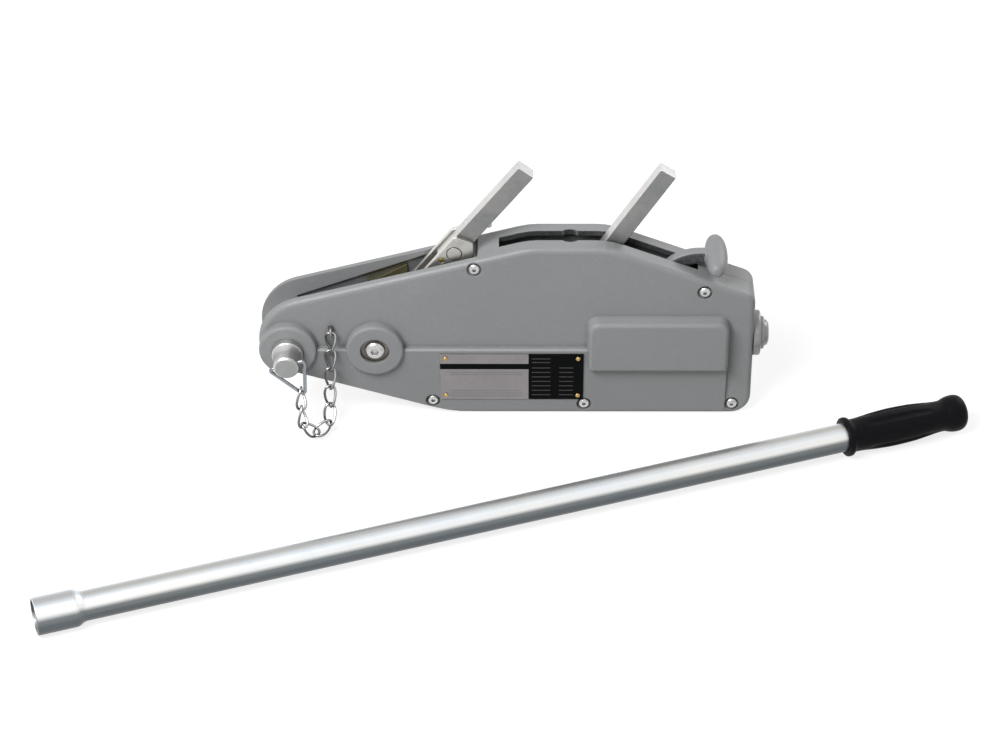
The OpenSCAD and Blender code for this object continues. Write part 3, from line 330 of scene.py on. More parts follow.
def buildFacing():
    # Flank: faces square to the machine's width; Inside: those within Depth of its middle, but not at Bare;
    # Ahead: faces turned to the tail
    group, given, result = newGroup(
        "facing", [("Depth", floatKind, 0.017), ("Bare", floatKind, 0.014)],
        [("Flank", floatKind), ("Inside", floatKind), ("Ahead", floatKind)],
    )
    facing = splitCoords(group, "Normal")
    place = splitCoords(group, "Object")
    flank = mapRange(group, mathNode(group, "ABSOLUTE", facing["Y"]), *effectRanges["flank"])
    depth = mathNode(group, "ABSOLUTE", place["Y"])
    near = mathNode(group, "LESS_THAN", depth, given.outputs["Depth"])
    off = mathNode(group, "ABSOLUTE", mathNode(group, "SUBTRACT", depth, given.outputs["Bare"]))
    near = mathNode(group, "MULTIPLY", near, mathNode(group, "GREATER_THAN", off, bareHalf))
    group.links.new(flank, result.inputs["Flank"])
    group.links.new(mapRange(group, facing["X"], *effectRanges["ahead"]), result.inputs["Ahead"])
    group.links.new(mathNode(group, "MULTIPLY", flank, near), result.inputs["Inside"])
    return group


softEdges = buildSoftEdges()
fineGrain = buildFineGrain()
toneDrift = buildToneDrift()
creviceGrimeAndShade = buildCreviceGrime()
facing = buildFacing()
print("shared effects built")


# finishes
def startFinish(name):
    material = bpy.data.materials.new(name)
    material.use_nodes = True
    tree = material.node_tree
    return material, tree, tree.nodes["Principled BSDF"]


def addBump(tree, shader, look, grain, edges):
    bump = addNode(tree, "ShaderNodeBump", None, {
        "Strength": look["bump"], "Distance": look["bumpDepth"],
        "Height": grain.outputs["Height"], "Normal": edges.outputs["Normal"],
    })
    tree.links.new(bump.outputs["Normal"], shader.inputs["Normal"])


# what all finishes have in common: shares of each effect and how far a mark reaches
finishBlend = {
    "flankCloud": 1.7, "flankMottle": 0.8, "grooveAmount": 0.85, "grooveCore": 0.5,
    "slotAmount": 0.9, "smearAmount": 0.9, "smearStart": (4 * mm, 3 * mm), "smearEnd": 0.6 * mm,
    "patchGloss": 0.55, "grainGloss": 0.45, "grimeAndShadeRough": 0.25, "specular": 0.5,
}


def addFacingShade(tree, look, color):
    # painted light and shade: darker tones on the sides and on faces turned to the tail, set by which way each
    # face turns
    sides = useGroup(tree, facing)
    flankShade = useGroup(tree, toneDrift, {
        "First": rgba(look["flankShadeTones"][0]), "Second": rgba(look["flankShadeTones"][1]),
        "Scale": look["cloudScale"] * finishBlend["flankCloud"],
        "Mottle": look["mottleScale"] * finishBlend["flankMottle"],
    })
    color = mixColor(tree, sides.outputs["Ahead"], color, rgba(look["aheadShadeTone"]))
    return mixColor(tree, sides.outputs["Flank"], color, flankShade.outputs["Color"])


def addPaintedLightBands(tree, look, color):
    # painted light: tones set by which way a face turns, from the underside, -1, to the top, 1; painted shade and
    # reflection below, painted highlight above
    tilt = splitCoords(tree, "Normal")["Z"]
    ramp = addNode(tree, "ShaderNodeValToRGB", None, {"Fac": mapRange(tree, tilt, -1, 1, 0, 1)})
    stops = ramp.color_ramp.elements
    stops.remove(stops[1])
    for i, (lean, tone) in enumerate(look["paintedLightBands"]):
        stop = stops[0] if i == 0 else stops.new((lean + 1) / 2)
        stop.position, stop.color = (lean + 1) / 2, rgba(tone)
    return mixColor(tree, 1.0, color, ramp.outputs["Color"], "MULTIPLY")


def addRing(tree, look, color):
    # a dark groove round a pin
    spot, radius, half = look["ring"]
    flat = addNode(
        tree, "ShaderNodeVectorMath", {"operation": "MULTIPLY"}, {0: coords(tree, "Object"), 1: (1, 0, 1)}
    ).outputs[0]
    away = addNode(
        tree, "ShaderNodeVectorMath", {"operation": "DISTANCE"}, {0: flat, 1: (spot.x, 0, spot.z)}
    ).outputs["Value"]
    off = mathNode(tree, "ABSOLUTE", mathNode(tree, "SUBTRACT", away, radius))
    groove = mapRange(tree, off, half * finishBlend["grooveCore"], half, finishBlend["grooveAmount"], 0.0)
    return mixColor(tree, groove, color, rgba(look["grimeAndShade"]))


def addInsideShade(tree, look, color):
    # painted shade on the walls inside, darker painted shade in the slot, and a smear of grease on the far wall
    sides = useGroup(tree, facing, {"Depth": look["insideDepth"]})
    insideShade = mathNode(tree, "MULTIPLY", sides.outputs["Inside"], look["insideShadeAmount"])
    color = mixColor(tree, insideShade, color, rgba(look["insideShadeTone"]))
    deep = useGroup(tree, facing, {"Depth": look["slotDepth"]})
    dark = mathNode(tree, "MULTIPLY", deep.outputs["Inside"], finishBlend["slotAmount"])
    color = mixColor(tree, dark, color, rgba(look["slotShadeTone"]))
    left, right, tone = look["smear"]
    before, after = finishBlend["smearStart"]
    spot = splitCoords(tree, "Object")
    starts = mapRange(tree, spot["X"], left - before, left + after, 0.0, finishBlend["smearAmount"])
    ends = mapRange(tree, spot["X"], right, right + finishBlend["smearEnd"], 1.0, 0.0)
    smear = mathNode(tree, "MULTIPLY", starts, ends)
    smear = mathNode(tree, "MULTIPLY", smear, mathNode(tree, "GREATER_THAN", spot["Y"], 0.0))
    smear = mathNode(tree, "MULTIPLY", smear, sides.outputs["Inside"])
    return mixColor(tree, smear, color, rgba(tone))


def makeFinish(name, look):
    material, tree, shader = startFinish(name)
    drift = useGroup(tree, toneDrift, {
        "First": rgba(look["tones"][0]), "Second": rgba(look["tones"][1]),
        "Scale": look["cloudScale"], "Mottle": look["mottleScale"],
    })
    grain = useGroup(tree, fineGrain, {
        "Scale": look["grainScale"], "Stretch": look.get("stretch", (1, 1, 1)),
        "Turn": tuple(math.radians(a) for a in look.get("turn", (0, 0, 0))),
    })
    edges = useGroup(tree, softEdges, {"Radius": look["edgeRadius"]})
    grimeAndShade = useGroup(tree, creviceGrimeAndShade, {"Distance": look["grimeAndShadeDistance"]})
    # edges: partly wear, partly a painted highlight where rounded edges catch the light
    wornAndLit = mathNode(tree, "MULTIPLY", edges.outputs["Edge"], look["edgeWearAndHighlight"])
    # grime and painted shade in corners and between parts
    grimeAndShadeMix = mathNode(tree, "MULTIPLY", grimeAndShade.outputs["GrimeAndShade"], look["grimeAndShadeAmount"])
    color = drift.outputs["Color"]
    # painted shade on flat faces and on faces turned to the tail
    if "flankShadeTones" in look:
        color = addFacingShade(tree, look, color)
    color = mixColor(tree, wornAndLit, color, rgba(look["edge"]))
    color = mixColor(tree, grimeAndShadeMix, color, rgba(look["grimeAndShade"]))
    # painted light and shade by which way a face turns, on the chain and the tube
    if "paintedLightBands" in look:
        color = addPaintedLightBands(tree, look, color)
    if "ring" in look:
        color = addRing(tree, look, color)
    # painted shade inside the casing and in its slot
    if "insideShadeTone" in look:
        color = addInsideShade(tree, look, color)
    speckle = mathNode(tree, "MULTIPLY", grain.outputs["Speckle"], look["speckle"])
    color = mixColor(tree, speckle, color, rgba(look["speckleTone"]))
    tree.links.new(color, shader.inputs["Base Color"])
    low, high = look["roughness"]
    gloss = mathNode(
        tree, "ADD",
        mathNode(tree, "MULTIPLY", drift.outputs["Patch"], finishBlend["patchGloss"]),
        mathNode(tree, "MULTIPLY", grain.outputs["Speckle"], finishBlend["grainGloss"]),
    )
    rough = mapRange(tree, gloss, 0.0, 1.0, low, high)
    rough = mathNode(tree, "ADD", rough, mathNode(tree, "MULTIPLY", grimeAndShadeMix, finishBlend["grimeAndShadeRough"]), True)
    tree.links.new(rough, shader.inputs["Roughness"])
    shader.inputs["Metallic"].default_value = look["metal"]
    shader.inputs["Specular IOR Level"].default_value = look.get("specular", finishBlend["specular"])
    addBump(tree, shader, look, grain, edges)
    return material


casingPaint = makeFinish("casingPaint", {
    "tones": ((0.316, 0.319, 0.323), (0.346, 0.348, 0.351)), "cloudScale": 9.0, "mottleScale": 120.0,
    "edge": (0.47, 0.49, 0.51), "edgeWearAndHighlight": 0.5, "edgeRadius": 1.3 * mm,
    "grimeAndShade": (0.05, 0.05, 0.048), "grimeAndShadeAmount": 0.6, "grimeAndShadeDistance": 6 * mm,
    "grainScale": 750.0, "speckle": 0.30, "speckleTone": (0.245, 0.245, 0.245),
    # painted shade on the inside walls and in the slot
    "insideShadeTone": (0.06, 0.066, 0.068), "insideDepth": 17 * mm, "insideShadeAmount": 0.66,
    "slotShadeTone": (0.016, 0.018, 0.02), "slotDepth": 10 * mm,
    "smear": (-123 * mm, -89 * mm, (0.085, 0.076, 0.036)),
    "roughness": (0.42, 0.54), "metal": 0.0, "bump": 0.26, "bumpDepth": 0.25 * mm,
})

leverZinc = makeFinish("leverZinc", {
    "tones": ((0.70, 0.695, 0.69), (0.84, 0.825, 0.805)), "cloudScale": 22.0, "mottleScale": 190.0,
    # painted light: the bright tones are the lit narrow faces, and the flank tones are painted shade on the flat
    # faces
    "flankShadeTones": ((0.20, 0.205, 0.21), (0.275, 0.27, 0.265)), "aheadShadeTone": (0.47, 0.47, 0.475),
    "edge": (0.80, 0.80, 0.78), "edgeWearAndHighlight": 0.75, "edgeRadius": 0.9 * mm,
    "grimeAndShade": (0.09, 0.085, 0.075), "grimeAndShadeAmount": 0.6, "grimeAndShadeDistance": 4 * mm,
    "grainScale": 520.0, "speckle": 0.18, "speckleTone": (0.34, 0.33, 0.31),
    "roughness": (0.32, 0.52), "metal": 0.85, "bump": 0.16, "bumpDepth": 0.2 * mm,
})

pinSpot = (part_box("lever_pin")[0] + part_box("lever_pin")[1]) / 2
cheekZinc = makeFinish("cheekZinc", {
    "tones": ((0.70, 0.68, 0.64), (0.84, 0.82, 0.77)), "cloudScale": 26.0, "mottleScale": 170.0,
    # painted shade: the cheek's flat faces are darker than its narrow faces and edges
    "flankShadeTones": ((0.40, 0.39, 0.365), (0.56, 0.55, 0.52)), "aheadShadeTone": (0.47, 0.46, 0.44),
    "ring": (pinSpot, 6.15 * mm, 0.55 * mm),
    "edge": (0.86, 0.85, 0.82), "edgeWearAndHighlight": 0.9, "edgeRadius": 1.3 * mm,
    "grimeAndShade": (0.05, 0.045, 0.04), "grimeAndShadeAmount": 0.85, "grimeAndShadeDistance": 5 * mm,
    "grainScale": 480.0, "speckle": 0.18, "speckleTone": (0.42, 0.40, 0.35),
    "roughness": (0.30, 0.50), "metal": 0.85, "bump": 0.14, "bumpDepth": 0.2 * mm,
})

brightSteel = makeFinish("brightSteel", {
    "tones": ((0.50, 0.505, 0.51), (0.62, 0.61, 0.595)), "cloudScale": 60.0, "mottleScale": 300.0,
    "edge": (0.82, 0.82, 0.82), "edgeWearAndHighlight": 0.7, "edgeRadius": 0.5 * mm,
    "grimeAndShade": (0.04, 0.037, 0.033), "grimeAndShadeAmount": 0.85, "grimeAndShadeDistance": 3.5 * mm,
    "grainScale": 900.0, "stretch": (0.25, 1, 1), "speckle": 0.10, "speckleTone": (0.30, 0.30, 0.30),
    "roughness": (0.22, 0.36), "metal": 1.0, "bump": 0.08, "bumpDepth": 0.1 * mm,
})

oiledWasher = makeFinish("oiledWasher", {
    "tones": ((0.15, 0.135, 0.115), (0.22, 0.205, 0.18)), "cloudScale": 90.0, "mottleScale": 420.0,
    "edge": (0.40, 0.38, 0.34), "edgeWearAndHighlight": 0.5, "edgeRadius": 0.4 * mm,
    "grimeAndShade": (0.04, 0.035, 0.03), "grimeAndShadeAmount": 0.85, "grimeAndShadeDistance": 3 * mm,
    "grainScale": 900.0, "speckle": 0.2, "speckleTone": (0.09, 0.08, 0.065),
    "roughness": (0.36, 0.55), "metal": 1.0, "bump": 0.1, "bumpDepth": 0.1 * mm,
})

anchorSteel = makeFinish("anchorSteel", {
    "tones": ((0.56, 0.565, 0.57), (0.66, 0.655, 0.64)), "cloudScale": 34.0, "mottleScale": 120.0,
    # painted shade: the pin's end faces are darker than its lit round side
    "flankShadeTones": ((0.30, 0.305, 0.31), (0.38, 0.375, 0.365)), "aheadShadeTone": (0.42, 0.42, 0.415),
    "edge": (0.92, 0.92, 0.90), "edgeWearAndHighlight": 0.9, "edgeRadius": 1.2 * mm,
    "grimeAndShade": (0.16, 0.155, 0.145), "grimeAndShadeAmount": 0.35, "grimeAndShadeDistance": 3 * mm,
    "grainScale": 500.0, "stretch": (1, 0.2, 1), "speckle": 0.06, "speckleTone": (0.38, 0.375, 0.36),
    "roughness": (0.28, 0.40), "metal": 0.8, "bump": 0.05, "bumpDepth": 0.08 * mm,
})

clipSteel = makeFinish("clipSteel", {
    "tones": ((0.24, 0.265, 0.29), (0.34, 0.355, 0.37)), "cloudScale": 50.0, "mottleScale": 260.0,
    "edge": (0.7, 0.72, 0.74), "edgeWearAndHighlight": 0.2, "edgeRadius": 0.3 * mm,
    "grimeAndShade": (0.05, 0.05, 0.05), "grimeAndShadeAmount": 0.6, "grimeAndShadeDistance": 3 * mm,
    "grainScale": 900.0, "speckle": 0.1, "speckleTone": (0.20, 0.22, 0.25),
    "roughness": (0.18, 0.30), "metal": 1.0, "bump": 0.06, "bumpDepth": 0.08 * mm,
})

chainNickel = makeFinish("chainNickel", {
    "tones": ((0.80, 0.80, 0.81), (1.0, 0.99, 0.98)), "cloudScale": 70.0, "mottleScale": 320.0,
    # painted light: the links are painted dark on their undersides and bright on top
    "paintedLightBands": ((-0.9, (0.035, 0.034, 0.034)), (-0.1, (0.10, 0.098, 0.098)), (0.25, (0.24, 0.24, 0.24)),
              (0.6, (0.62, 0.62, 0.63)), (0.95, (0.86, 0.86, 0.87))),
    "edge": (0.8, 0.8, 0.8), "edgeWearAndHighlight": 0.1, "edgeRadius": 0.2 * mm,
    "grimeAndShade": (0.03, 0.028, 0.025), "grimeAndShadeAmount": 0.9, "grimeAndShadeDistance": 3 * mm,
    "grainScale": 1100.0, "speckle": 0.08, "speckleTone": (0.14, 0.135, 0.13),
    "roughness": (0.10, 0.20), "metal": 1.0, "bump": 0.05, "bumpDepth": 0.06 * mm,
})

jawSteel = makeFinish("jawSteel", {
    "tones": ((0.22, 0.22, 0.22), (0.33, 0.32, 0.30)), "cloudScale": 40.0, "mottleScale": 240.0,
    "edge": (0.5, 0.5, 0.5), "edgeWearAndHighlight": 0.5, "edgeRadius": 0.5 * mm,
    "grimeAndShade": (0.03, 0.028, 0.022), "grimeAndShadeAmount": 0.8, "grimeAndShadeDistance": 6 * mm,
    "grainScale": 600.0, "speckle": 0.15, "speckleTone": (0.14, 0.13, 0.11),
    "roughness": (0.34, 0.5), "metal": 1.0, "bump": 0.12, "bumpDepth": 0.12 * mm,
})

greasedPlate = makeFinish("greasedPlate", {
    "tones": ((0.17, 0.155, 0.075), (0.23, 0.21, 0.11)), "cloudScale": 24.0, "mottleScale": 90.0,
    "edge": (0.5, 0.47, 0.34), "edgeWearAndHighlight": 0.6, "edgeRadius": 0.6 * mm,
    "grimeAndShade": (0.03, 0.027, 0.015), "grimeAndShadeAmount": 0.6, "grimeAndShadeDistance": 4 * mm,
    "grainScale": 420.0, "speckle": 0.12, "speckleTone": (0.12, 0.11, 0.06),
    "roughness": (0.24, 0.42), "metal": 0.6, "bump": 0.1, "bumpDepth": 0.15 * mm,
})

guideZinc = makeFinish("guideZinc", {
    "tones": ((0.20, 0.205, 0.21), (0.28, 0.28, 0.275)), "cloudScale": 40.0, "mottleScale": 220.0,
    "edge": (0.72, 0.72, 0.70), "edgeWearAndHighlight": 0.75, "edgeRadius": 0.8 * mm,
    "grimeAndShade": (0.05, 0.047, 0.04), "grimeAndShadeAmount": 0.7, "grimeAndShadeDistance": 4 * mm,
    "grainScale": 700.0, "speckle": 0.12, "speckleTone": (0.17, 0.17, 0.165),
    "roughness": (0.32, 0.48), "metal": 0.8, "bump": 0.08, "bumpDepth": 0.1 * mm,
})

rivetBrass = makeFinish("rivetBrass", {
    "tones": ((0.46, 0.30, 0.11), (0.56, 0.40, 0.18)), "cloudScale": 120.0, "mottleScale": 500.0,
    "edge": (0.75, 0.6, 0.35), "edgeWearAndHighlight": 0.4, "edgeRadius": 0.3 * mm,
    "grimeAndShade": (0.06, 0.04, 0.02), "grimeAndShadeAmount": 0.7, "grimeAndShadeDistance": 2 * mm,
    "grainScale": 1200.0, "speckle": 0.1, "speckleTone": (0.3, 0.2, 0.08),
    "roughness": (0.28, 0.42), "metal": 1.0, "bump": 0.05, "bumpDepth": 0.06 * mm,
})

socketMount = next(m for m in frame["record"]["mounts"] if m["name"] == "handle_socket")
handleAxis = -Vector(socketMount["axis"])
tubeTurn = -math.degrees(math.atan2(handleAxis.y, handleAxis.x))
tubeZinc = makeFinish("tubeZinc", {
    "tones": ((0.94, 0.96, 0.985), (1.0, 0.985, 0.955)), "cloudScale": 10.0, "mottleScale": 30.0,
    # painted light: a painted dark reflection below, a painted highlight band above and a darker top edge
    "paintedLightBands": ((-0.85, (0.05, 0.057, 0.064)), (0.0, (0.115, 0.13, 0.14)), (0.33, (0.19, 0.205, 0.21)),
              (0.46, (0.60, 0.605, 0.60)), (0.56, (0.93, 0.925, 0.90)), (0.82, (0.88, 0.905, 0.93)),
              (0.95, (0.64, 0.67, 0.69)), (1.0, (0.48, 0.475, 0.46))),
    "edge": (0.82, 0.82, 0.80), "edgeWearAndHighlight": 0.5, "edgeRadius": 0.6 * mm,
    "grimeAndShade": (0.12, 0.12, 0.115), "grimeAndShadeAmount": 0.2, "grimeAndShadeDistance": 4 * mm,
    "grainScale": 620.0, "stretch": (0.03, 1, 1), "turn": (0, 0, tubeTurn),
    "speckle": 0.05, "speckleTone": (0.54, 0.55, 0.55),
    "roughness": (0.26, 0.36), "metal": 0.75, "bump": 0.04, "bumpDepth": 0.08 * mm,
})

gripRubber = makeFinish("gripRubber", {
    "tones": ((0.004, 0.004, 0.005), (0.007, 0.0065, 0.008)), "cloudScale": 30.0, "mottleScale": 240.0,
    "edge": (0.03, 0.03, 0.032), "edgeWearAndHighlight": 0.4, "edgeRadius": 0.6 * mm,
    "grimeAndShade": (0.005, 0.005, 0.005), "grimeAndShadeAmount": 0.3, "grimeAndShadeDistance": 3 * mm,
    "grainScale": 900.0, "speckle": 0.15, "speckleTone": (0.014, 0.014, 0.016),
    "roughness": (0.38, 0.52), "metal": 0.0, "specular": 0.07, "bump": 0.1, "bumpDepth": 0.1 * mm,
})

dress(casingPaint, "front_casing", "rear_casing")
dress(cheekZinc, "lever_pin")
dress(brightSteel, "casing_screws", "casing_nuts", "pivot_studs", "pivot_screws", "reverse_axle",
      "release_axle", "release_pin", "detent_button", "drive_pins")
dress(oiledWasher, "pivot_washers")
# the chain's eye takes the dark jaw steel: painted shade for its hole
dress(jawSteel, "chain_eye", "front_jaw_plates", "front_jaw_pins", "front_upper_jaw", "front_lower_jaw",
      "rear_jaw_plates", "rear_jaw_pins", "rear_upper_jaw", "rear_lower_jaw", "reverse_link", "release_bar")
dress(greasedPlate, "wear_plates")
dress(rivetBrass, "nameplate_rivets", "shear_pins")
dress(tubeZinc, "handle_tube")
print("finishes made and put on the CAD nodes")


# nameplate: bare metal, dark printed fields and ruled lines, no lettering
labelLook = {
    "silver": (0.25, 0.235, 0.24), "silverLift": 1.14, "cloudScale": 30.0, "mottleScale": 260.0,
    "ink": (0.003, 0.0033, 0.0036), "inkCover": 0.95,
    "field": (0.617, 1.01, -0.01, 1.01), "bar": (-0.01, 0.617, 0.67, 0.79),
    "rule": (0.16, 0.16, 0.17), "ruleAmount": 0.75, "ruleHalf": 0.008, "ruleSpan": (0.07, 0.57),
    "rules": (0.60, 0.555, 0.20, 0.155, 0.11, 0.065),
    "rows": (0.90, 0.82, 0.70, 0.60, 0.50, 0.40, 0.30, 0.20, 0.10), "rowAmount": 0.45,
    "rowSpan": (0.64, 0.77), "tallySpan": (0.83, 0.93), "tallyFrom": 2,
    "grainScale": 900.0, "stretch": (0.1, 1, 1), "edgeRadius": 0.3 * mm,
    "roughness": (0.30, 0.46), "specular": 0.04, "bump": 0.06, "bumpDepth": 0.05 * mm,
}


def makeLabel(look):
    material, tree, shader = startFinish("labelPrint")
    low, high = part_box("nameplate")
    spot = splitCoords(tree, "Object")
    across = mapRange(tree, spot["X"], low.x, high.x, 0.0, 1.0)
    along = mapRange(tree, spot["Z"], low.z, high.z, 0.0, 1.0)

    def between(value, first, last):
        return mathNode(
            tree, "MULTIPLY",
            mathNode(tree, "GREATER_THAN", value, first), mathNode(tree, "LESS_THAN", value, last),
        )

    def block(left, right, bottom, top):
        return mathNode(tree, "MULTIPLY", between(across, left, right), between(along, bottom, top))

    def lines(heights, span):
        mask = 0.0
        for height in heights:
            line = between(along, height - look["ruleHalf"], height + look["ruleHalf"])
            mask = mathNode(tree, "MAXIMUM", mask, line)
        return mathNode(tree, "MULTIPLY", mask, between(across, *span))

    ink = mathNode(tree, "MAXIMUM", block(*look["bar"]), block(*look["field"]))
    ruled = lines(look["rules"], look["ruleSpan"])
    tally = lines(look["rows"][look["tallyFrom"]:], look["tallySpan"])
    light = mathNode(tree, "MAXIMUM", lines(look["rows"], look["rowSpan"]), tally)
    drift = useGroup(tree, toneDrift, {
        "First": rgba(look["silver"]), "Second": rgba(tuple(c * look["silverLift"] for c in look["silver"])),
        "Scale": look["cloudScale"], "Mottle": look["mottleScale"],
    })
    grain = useGroup(tree, fineGrain, {"Scale": look["grainScale"], "Stretch": look["stretch"]})
    edges = useGroup(tree, softEdges, {"Radius": look["edgeRadius"]})
    ruled = mathNode(tree, "MULTIPLY", ruled, look["ruleAmount"])
    color = mixColor(tree, ruled, drift.outputs["Color"], rgba(look["rule"]))
    color = mixColor(tree, ink, color, rgba(look["ink"]))
    light = mathNode(tree, "MULTIPLY", light, look["rowAmount"])
    color = mixColor(tree, light, color, rgba(look["silver"]))
    tree.links.new(color, shader.inputs["Base Color"])
    bare = mathNode(tree, "SUBTRACT", 1.0, mathNode(tree, "MULTIPLY", ink, look["inkCover"]))
    tree.links.new(bare, shader.inputs["Metallic"])
    shader.inputs["Specular IOR Level"].default_value = look["specular"]
    rough = mapRange(tree, grain.outputs["Speckle"], 0.0, 1.0, *look["roughness"])
    tree.links.new(rough, shader.inputs["Roughness"])
    addBump(tree, shader, look, grain, edges)
    return material


dress(makeLabel(labelLook), "nameplate")
print("nameplate printed")


# round wire: chain links, clip and spring
def sweepTube(line, radius, sides, closed=True):
    # a round tube along a line of points, its rings carried without twist
    count = len(line)
    points, faces = [], []
    side = None
    for i, spot in enumerate(line):
        ahead = line[(i + 1) % count] if closed or i + 1 < count else spot
        behind = line[i - 1] if closed or i > 0 else spot
        run = (ahead - behind).normalized()
        if side is None:
            side = run.orthogonal().normalized()
        side = (side - run * side.dot(run)).normalized()
        up = run.cross(side)
        for k in range(sides):
            a = math.tau * k / sides
            points.append(spot + (side * math.cos(a) + up * math.sin(a)) * radius)
    shift, last = 0, (count - 1) * sides
    if closed:  # the last ring may meet the first one turned
        target = points[0] - line[0]
        shift = max(range(sides), key=lambda k: (points[last + k] - line[-1]).dot(target))
    for i in range(count if closed else count - 1):
        turn = shift if i + 1 == count else 0
        here, there = i * sides, ((i + 1) % count) * sides
        for k in range(sides):
            faces.append((
                here + (k + turn) % sides, here + (k + 1 + turn) % sides, there + (k + 1) % sides, there + k,
            ))
    if not closed:
        faces.append(tuple(range(sides - 1, -1, -1)))
        faces.append(tuple(range(last, last + sides)))
    return points, faces


# the chain's route ends at the clip, so the clip's sizes come first
clipShape = {
    "wire": 1.5, "reach": 16.0, "tilt": 17.5, "low": (14.5, 0, -31.0), "bend": 2.2,
    "cornerSteps": 10, "ringStep": 3.0, "sides": 18,
}
chainShape = {
    "linkRadius": 1.0, "wireRadius": 1.1, "linkLength": 20.5, "linkWidth": 11.0, "squareness": 3,
    "links": 9, "rings": 56, "sides": 12, "lastOnCasing": 5, "eyeIn": 4.8,
    "slack": (0.8, 0.4, 0.4, 0.4, 0.7, 1.1, 1.1, 1.1, 1.1, 0.8),
    "front": (0.64, -0.77, 0.0), "roll": -8.0, "rollStep": -9.0, "twist": 45.0,
    "searchEnd": 1.3, "searchSteps": 24,
}
jointAt = {j["name"]: Vector(j["pos_m"]) for j in frame["joints"] if "pos_m" in j}
eyeLow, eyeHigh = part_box("chain_eye")
eyeY = eyeLow.y + chainShape["eyeIn"] * mm
eyeAt = Vector(((eyeLow.x + eyeHigh.x) / 2, eyeY, (eyeLow.z + eyeHigh.z) / 2)) / mm
clipAt = jointAt["clip_swing"] / mm
clipCorner = clipAt + Vector(clipShape["low"])
chainRoute = [
    eyeAt + Vector((0, -0.8, -2.1)), eyeAt + Vector((-1, -4.7, -24.7)),
    Vector((eyeAt.x - 2.2, eyeAt.y - 12.3, 28.9)), Vector((eyeAt.x - 2.1, eyeAt.y - 17.7, 15.8)),
    Vector((eyeAt.x - 3.6, eyeAt.y - 23.7, 8.4)), Vector((eyeAt.x - 12.8, clipAt.y - 10.8, 6.8)),
    Vector((clipAt.x + 14, clipAt.y - 14.6, 15.8)), Vector((clipAt.x + 11.7, clipAt.y - 10.8, 25)),
    clipCorner + Vector((-3.4, 1.8, 5.7)),
]


def routeAt(t):
    # a smooth curve through the route's points
    n = len(chainRoute) - 1
    i = min(int(math.floor(t * n)), n - 1)
    f = t * n - i
    b, c = chainRoute[i], chainRoute[i + 1]
    a = chainRoute[i - 1] if i > 0 else 2 * b - c
    d = chainRoute[i + 2] if i + 2 <= n else 2 * c - b
    return (2 * b + (c - a) * f + (2 * a - 5 * b + 4 * c - d) * f * f + (3 * b - a - 3 * c + d) * f ** 3) / 2


def chainPins(shape):
    # where the links meet, each a pitch along the route from the last
    spots, t = [routeAt(0.0)], 0.0
    slack = shape["slack"]
    for i in range(shape["links"]):
        pitch = shape["linkLength"] - 4 * shape["linkRadius"] - (slack[i] + slack[i + 1]) / 2
        low, high = t, shape["searchEnd"]
        for _ in range(shape["searchSteps"]):
            middle = (low + high) / 2
            if (routeAt(middle) - routeAt(t)).length < pitch:
                low = middle
            else:
                high = middle
        t = (low + high) / 2
        spots.append(routeAt(t))
    return spots


def linkLine(shape, angle):
    half = shape["linkLength"] / 2 - shape["linkRadius"]
    side = shape["linkWidth"] / 2 - shape["linkRadius"]
    power = shape["squareness"]
    k = (abs(math.cos(angle)) ** power + abs(math.sin(angle)) ** power) ** (1 / power)
    x, y = half * math.cos(angle) / k, side * math.sin(angle) / k
    turn = math.radians(shape["twist"]) * x / half
    return Vector((x, y * math.cos(turn), y * math.sin(turn)))


def buildChain(shape):
    pins = chainPins(shape)
    front = Vector(shape["front"]).normalized()
    groups = {"chainHung": ([], []), "chainClipped": ([], [])}
    for i in range(shape["links"]):
        run = (pins[i + 1] - pins[i]).normalized()
        flat = (front - run * front.dot(run)).normalized()
        turn = math.radians(shape["roll"] + i * shape["rollStep"])
        side = flat * math.cos(turn) + run.cross(flat) * math.sin(turn)
        up = run.cross(side)
        middle = (pins[i] + pins[i + 1]) / 2 + run * (shape["slack"][i + 1] - shape["slack"][i]) / 4
        line = []
        for k in range(shape["rings"]):
            local = linkLine(shape, math.tau * k / shape["rings"])
            line.append((middle + run * local.x + side * local.y + up * local.z) * mm)
        points, faces = sweepTube(line, shape["wireRadius"] * mm, shape["sides"])
        kept, keptFaces = groups["chainHung" if i <= shape["lastOnCasing"] else "chainClipped"]
        start = len(kept)
        kept.extend(points)
        keptFaces.extend(tuple(v + start for v in face) for face in faces)
    hung = meshPiece("chainHung", *groups["chainHung"], chainNickel)
    clipped = meshPiece("chainClipped", *groups["chainClipped"], chainNickel)
    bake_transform(hung)
    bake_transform(clipped)
    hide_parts("pin_chain")


buildChain(chainShape)
print("chain built")


def buildClip(shape):
    tilt = math.radians(shape["tilt"])
    reach = Vector((math.cos(tilt), 0, math.sin(tilt))) * shape["reach"]
    corners = [-reach, Vector(shape["low"]), reach]
    line = []
    for i, corner in enumerate(corners):
        before = (corners[i - 1] - corner).normalized()
        after = (corners[(i + 1) % len(corners)] - corner).normalized()
        half = before.angle(after) / 2
        centre = corner + (before + after).normalized() * shape["bend"] / math.sin(half)
        start = corner + before * shape["bend"] / math.tan(half) - centre
        end = corner + after * shape["bend"] / math.tan(half) - centre
        for k in range(shape["cornerSteps"] + 1):
            out = start.slerp(end, k / shape["cornerSteps"])  # comes back with unit length
            line.append(centre + out * shape["bend"])
    fine = []
    for i, spot in enumerate(line):
        nextSpot = line[(i + 1) % len(line)]
        pieces = max(1, int((nextSpot - spot).length / shape["ringStep"]))
        fine.extend(spot.lerp(nextSpot, k / pieces) for k in range(pieces))
    points, faces = sweepTube([(clipAt + p) * mm for p in fine], shape["wire"] * mm, shape["sides"])
    clip = meshPiece("clipWire", points, faces, clipSteel)
    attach(clip, "clip")
    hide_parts("anchor_clip")


buildClip(clipShape)

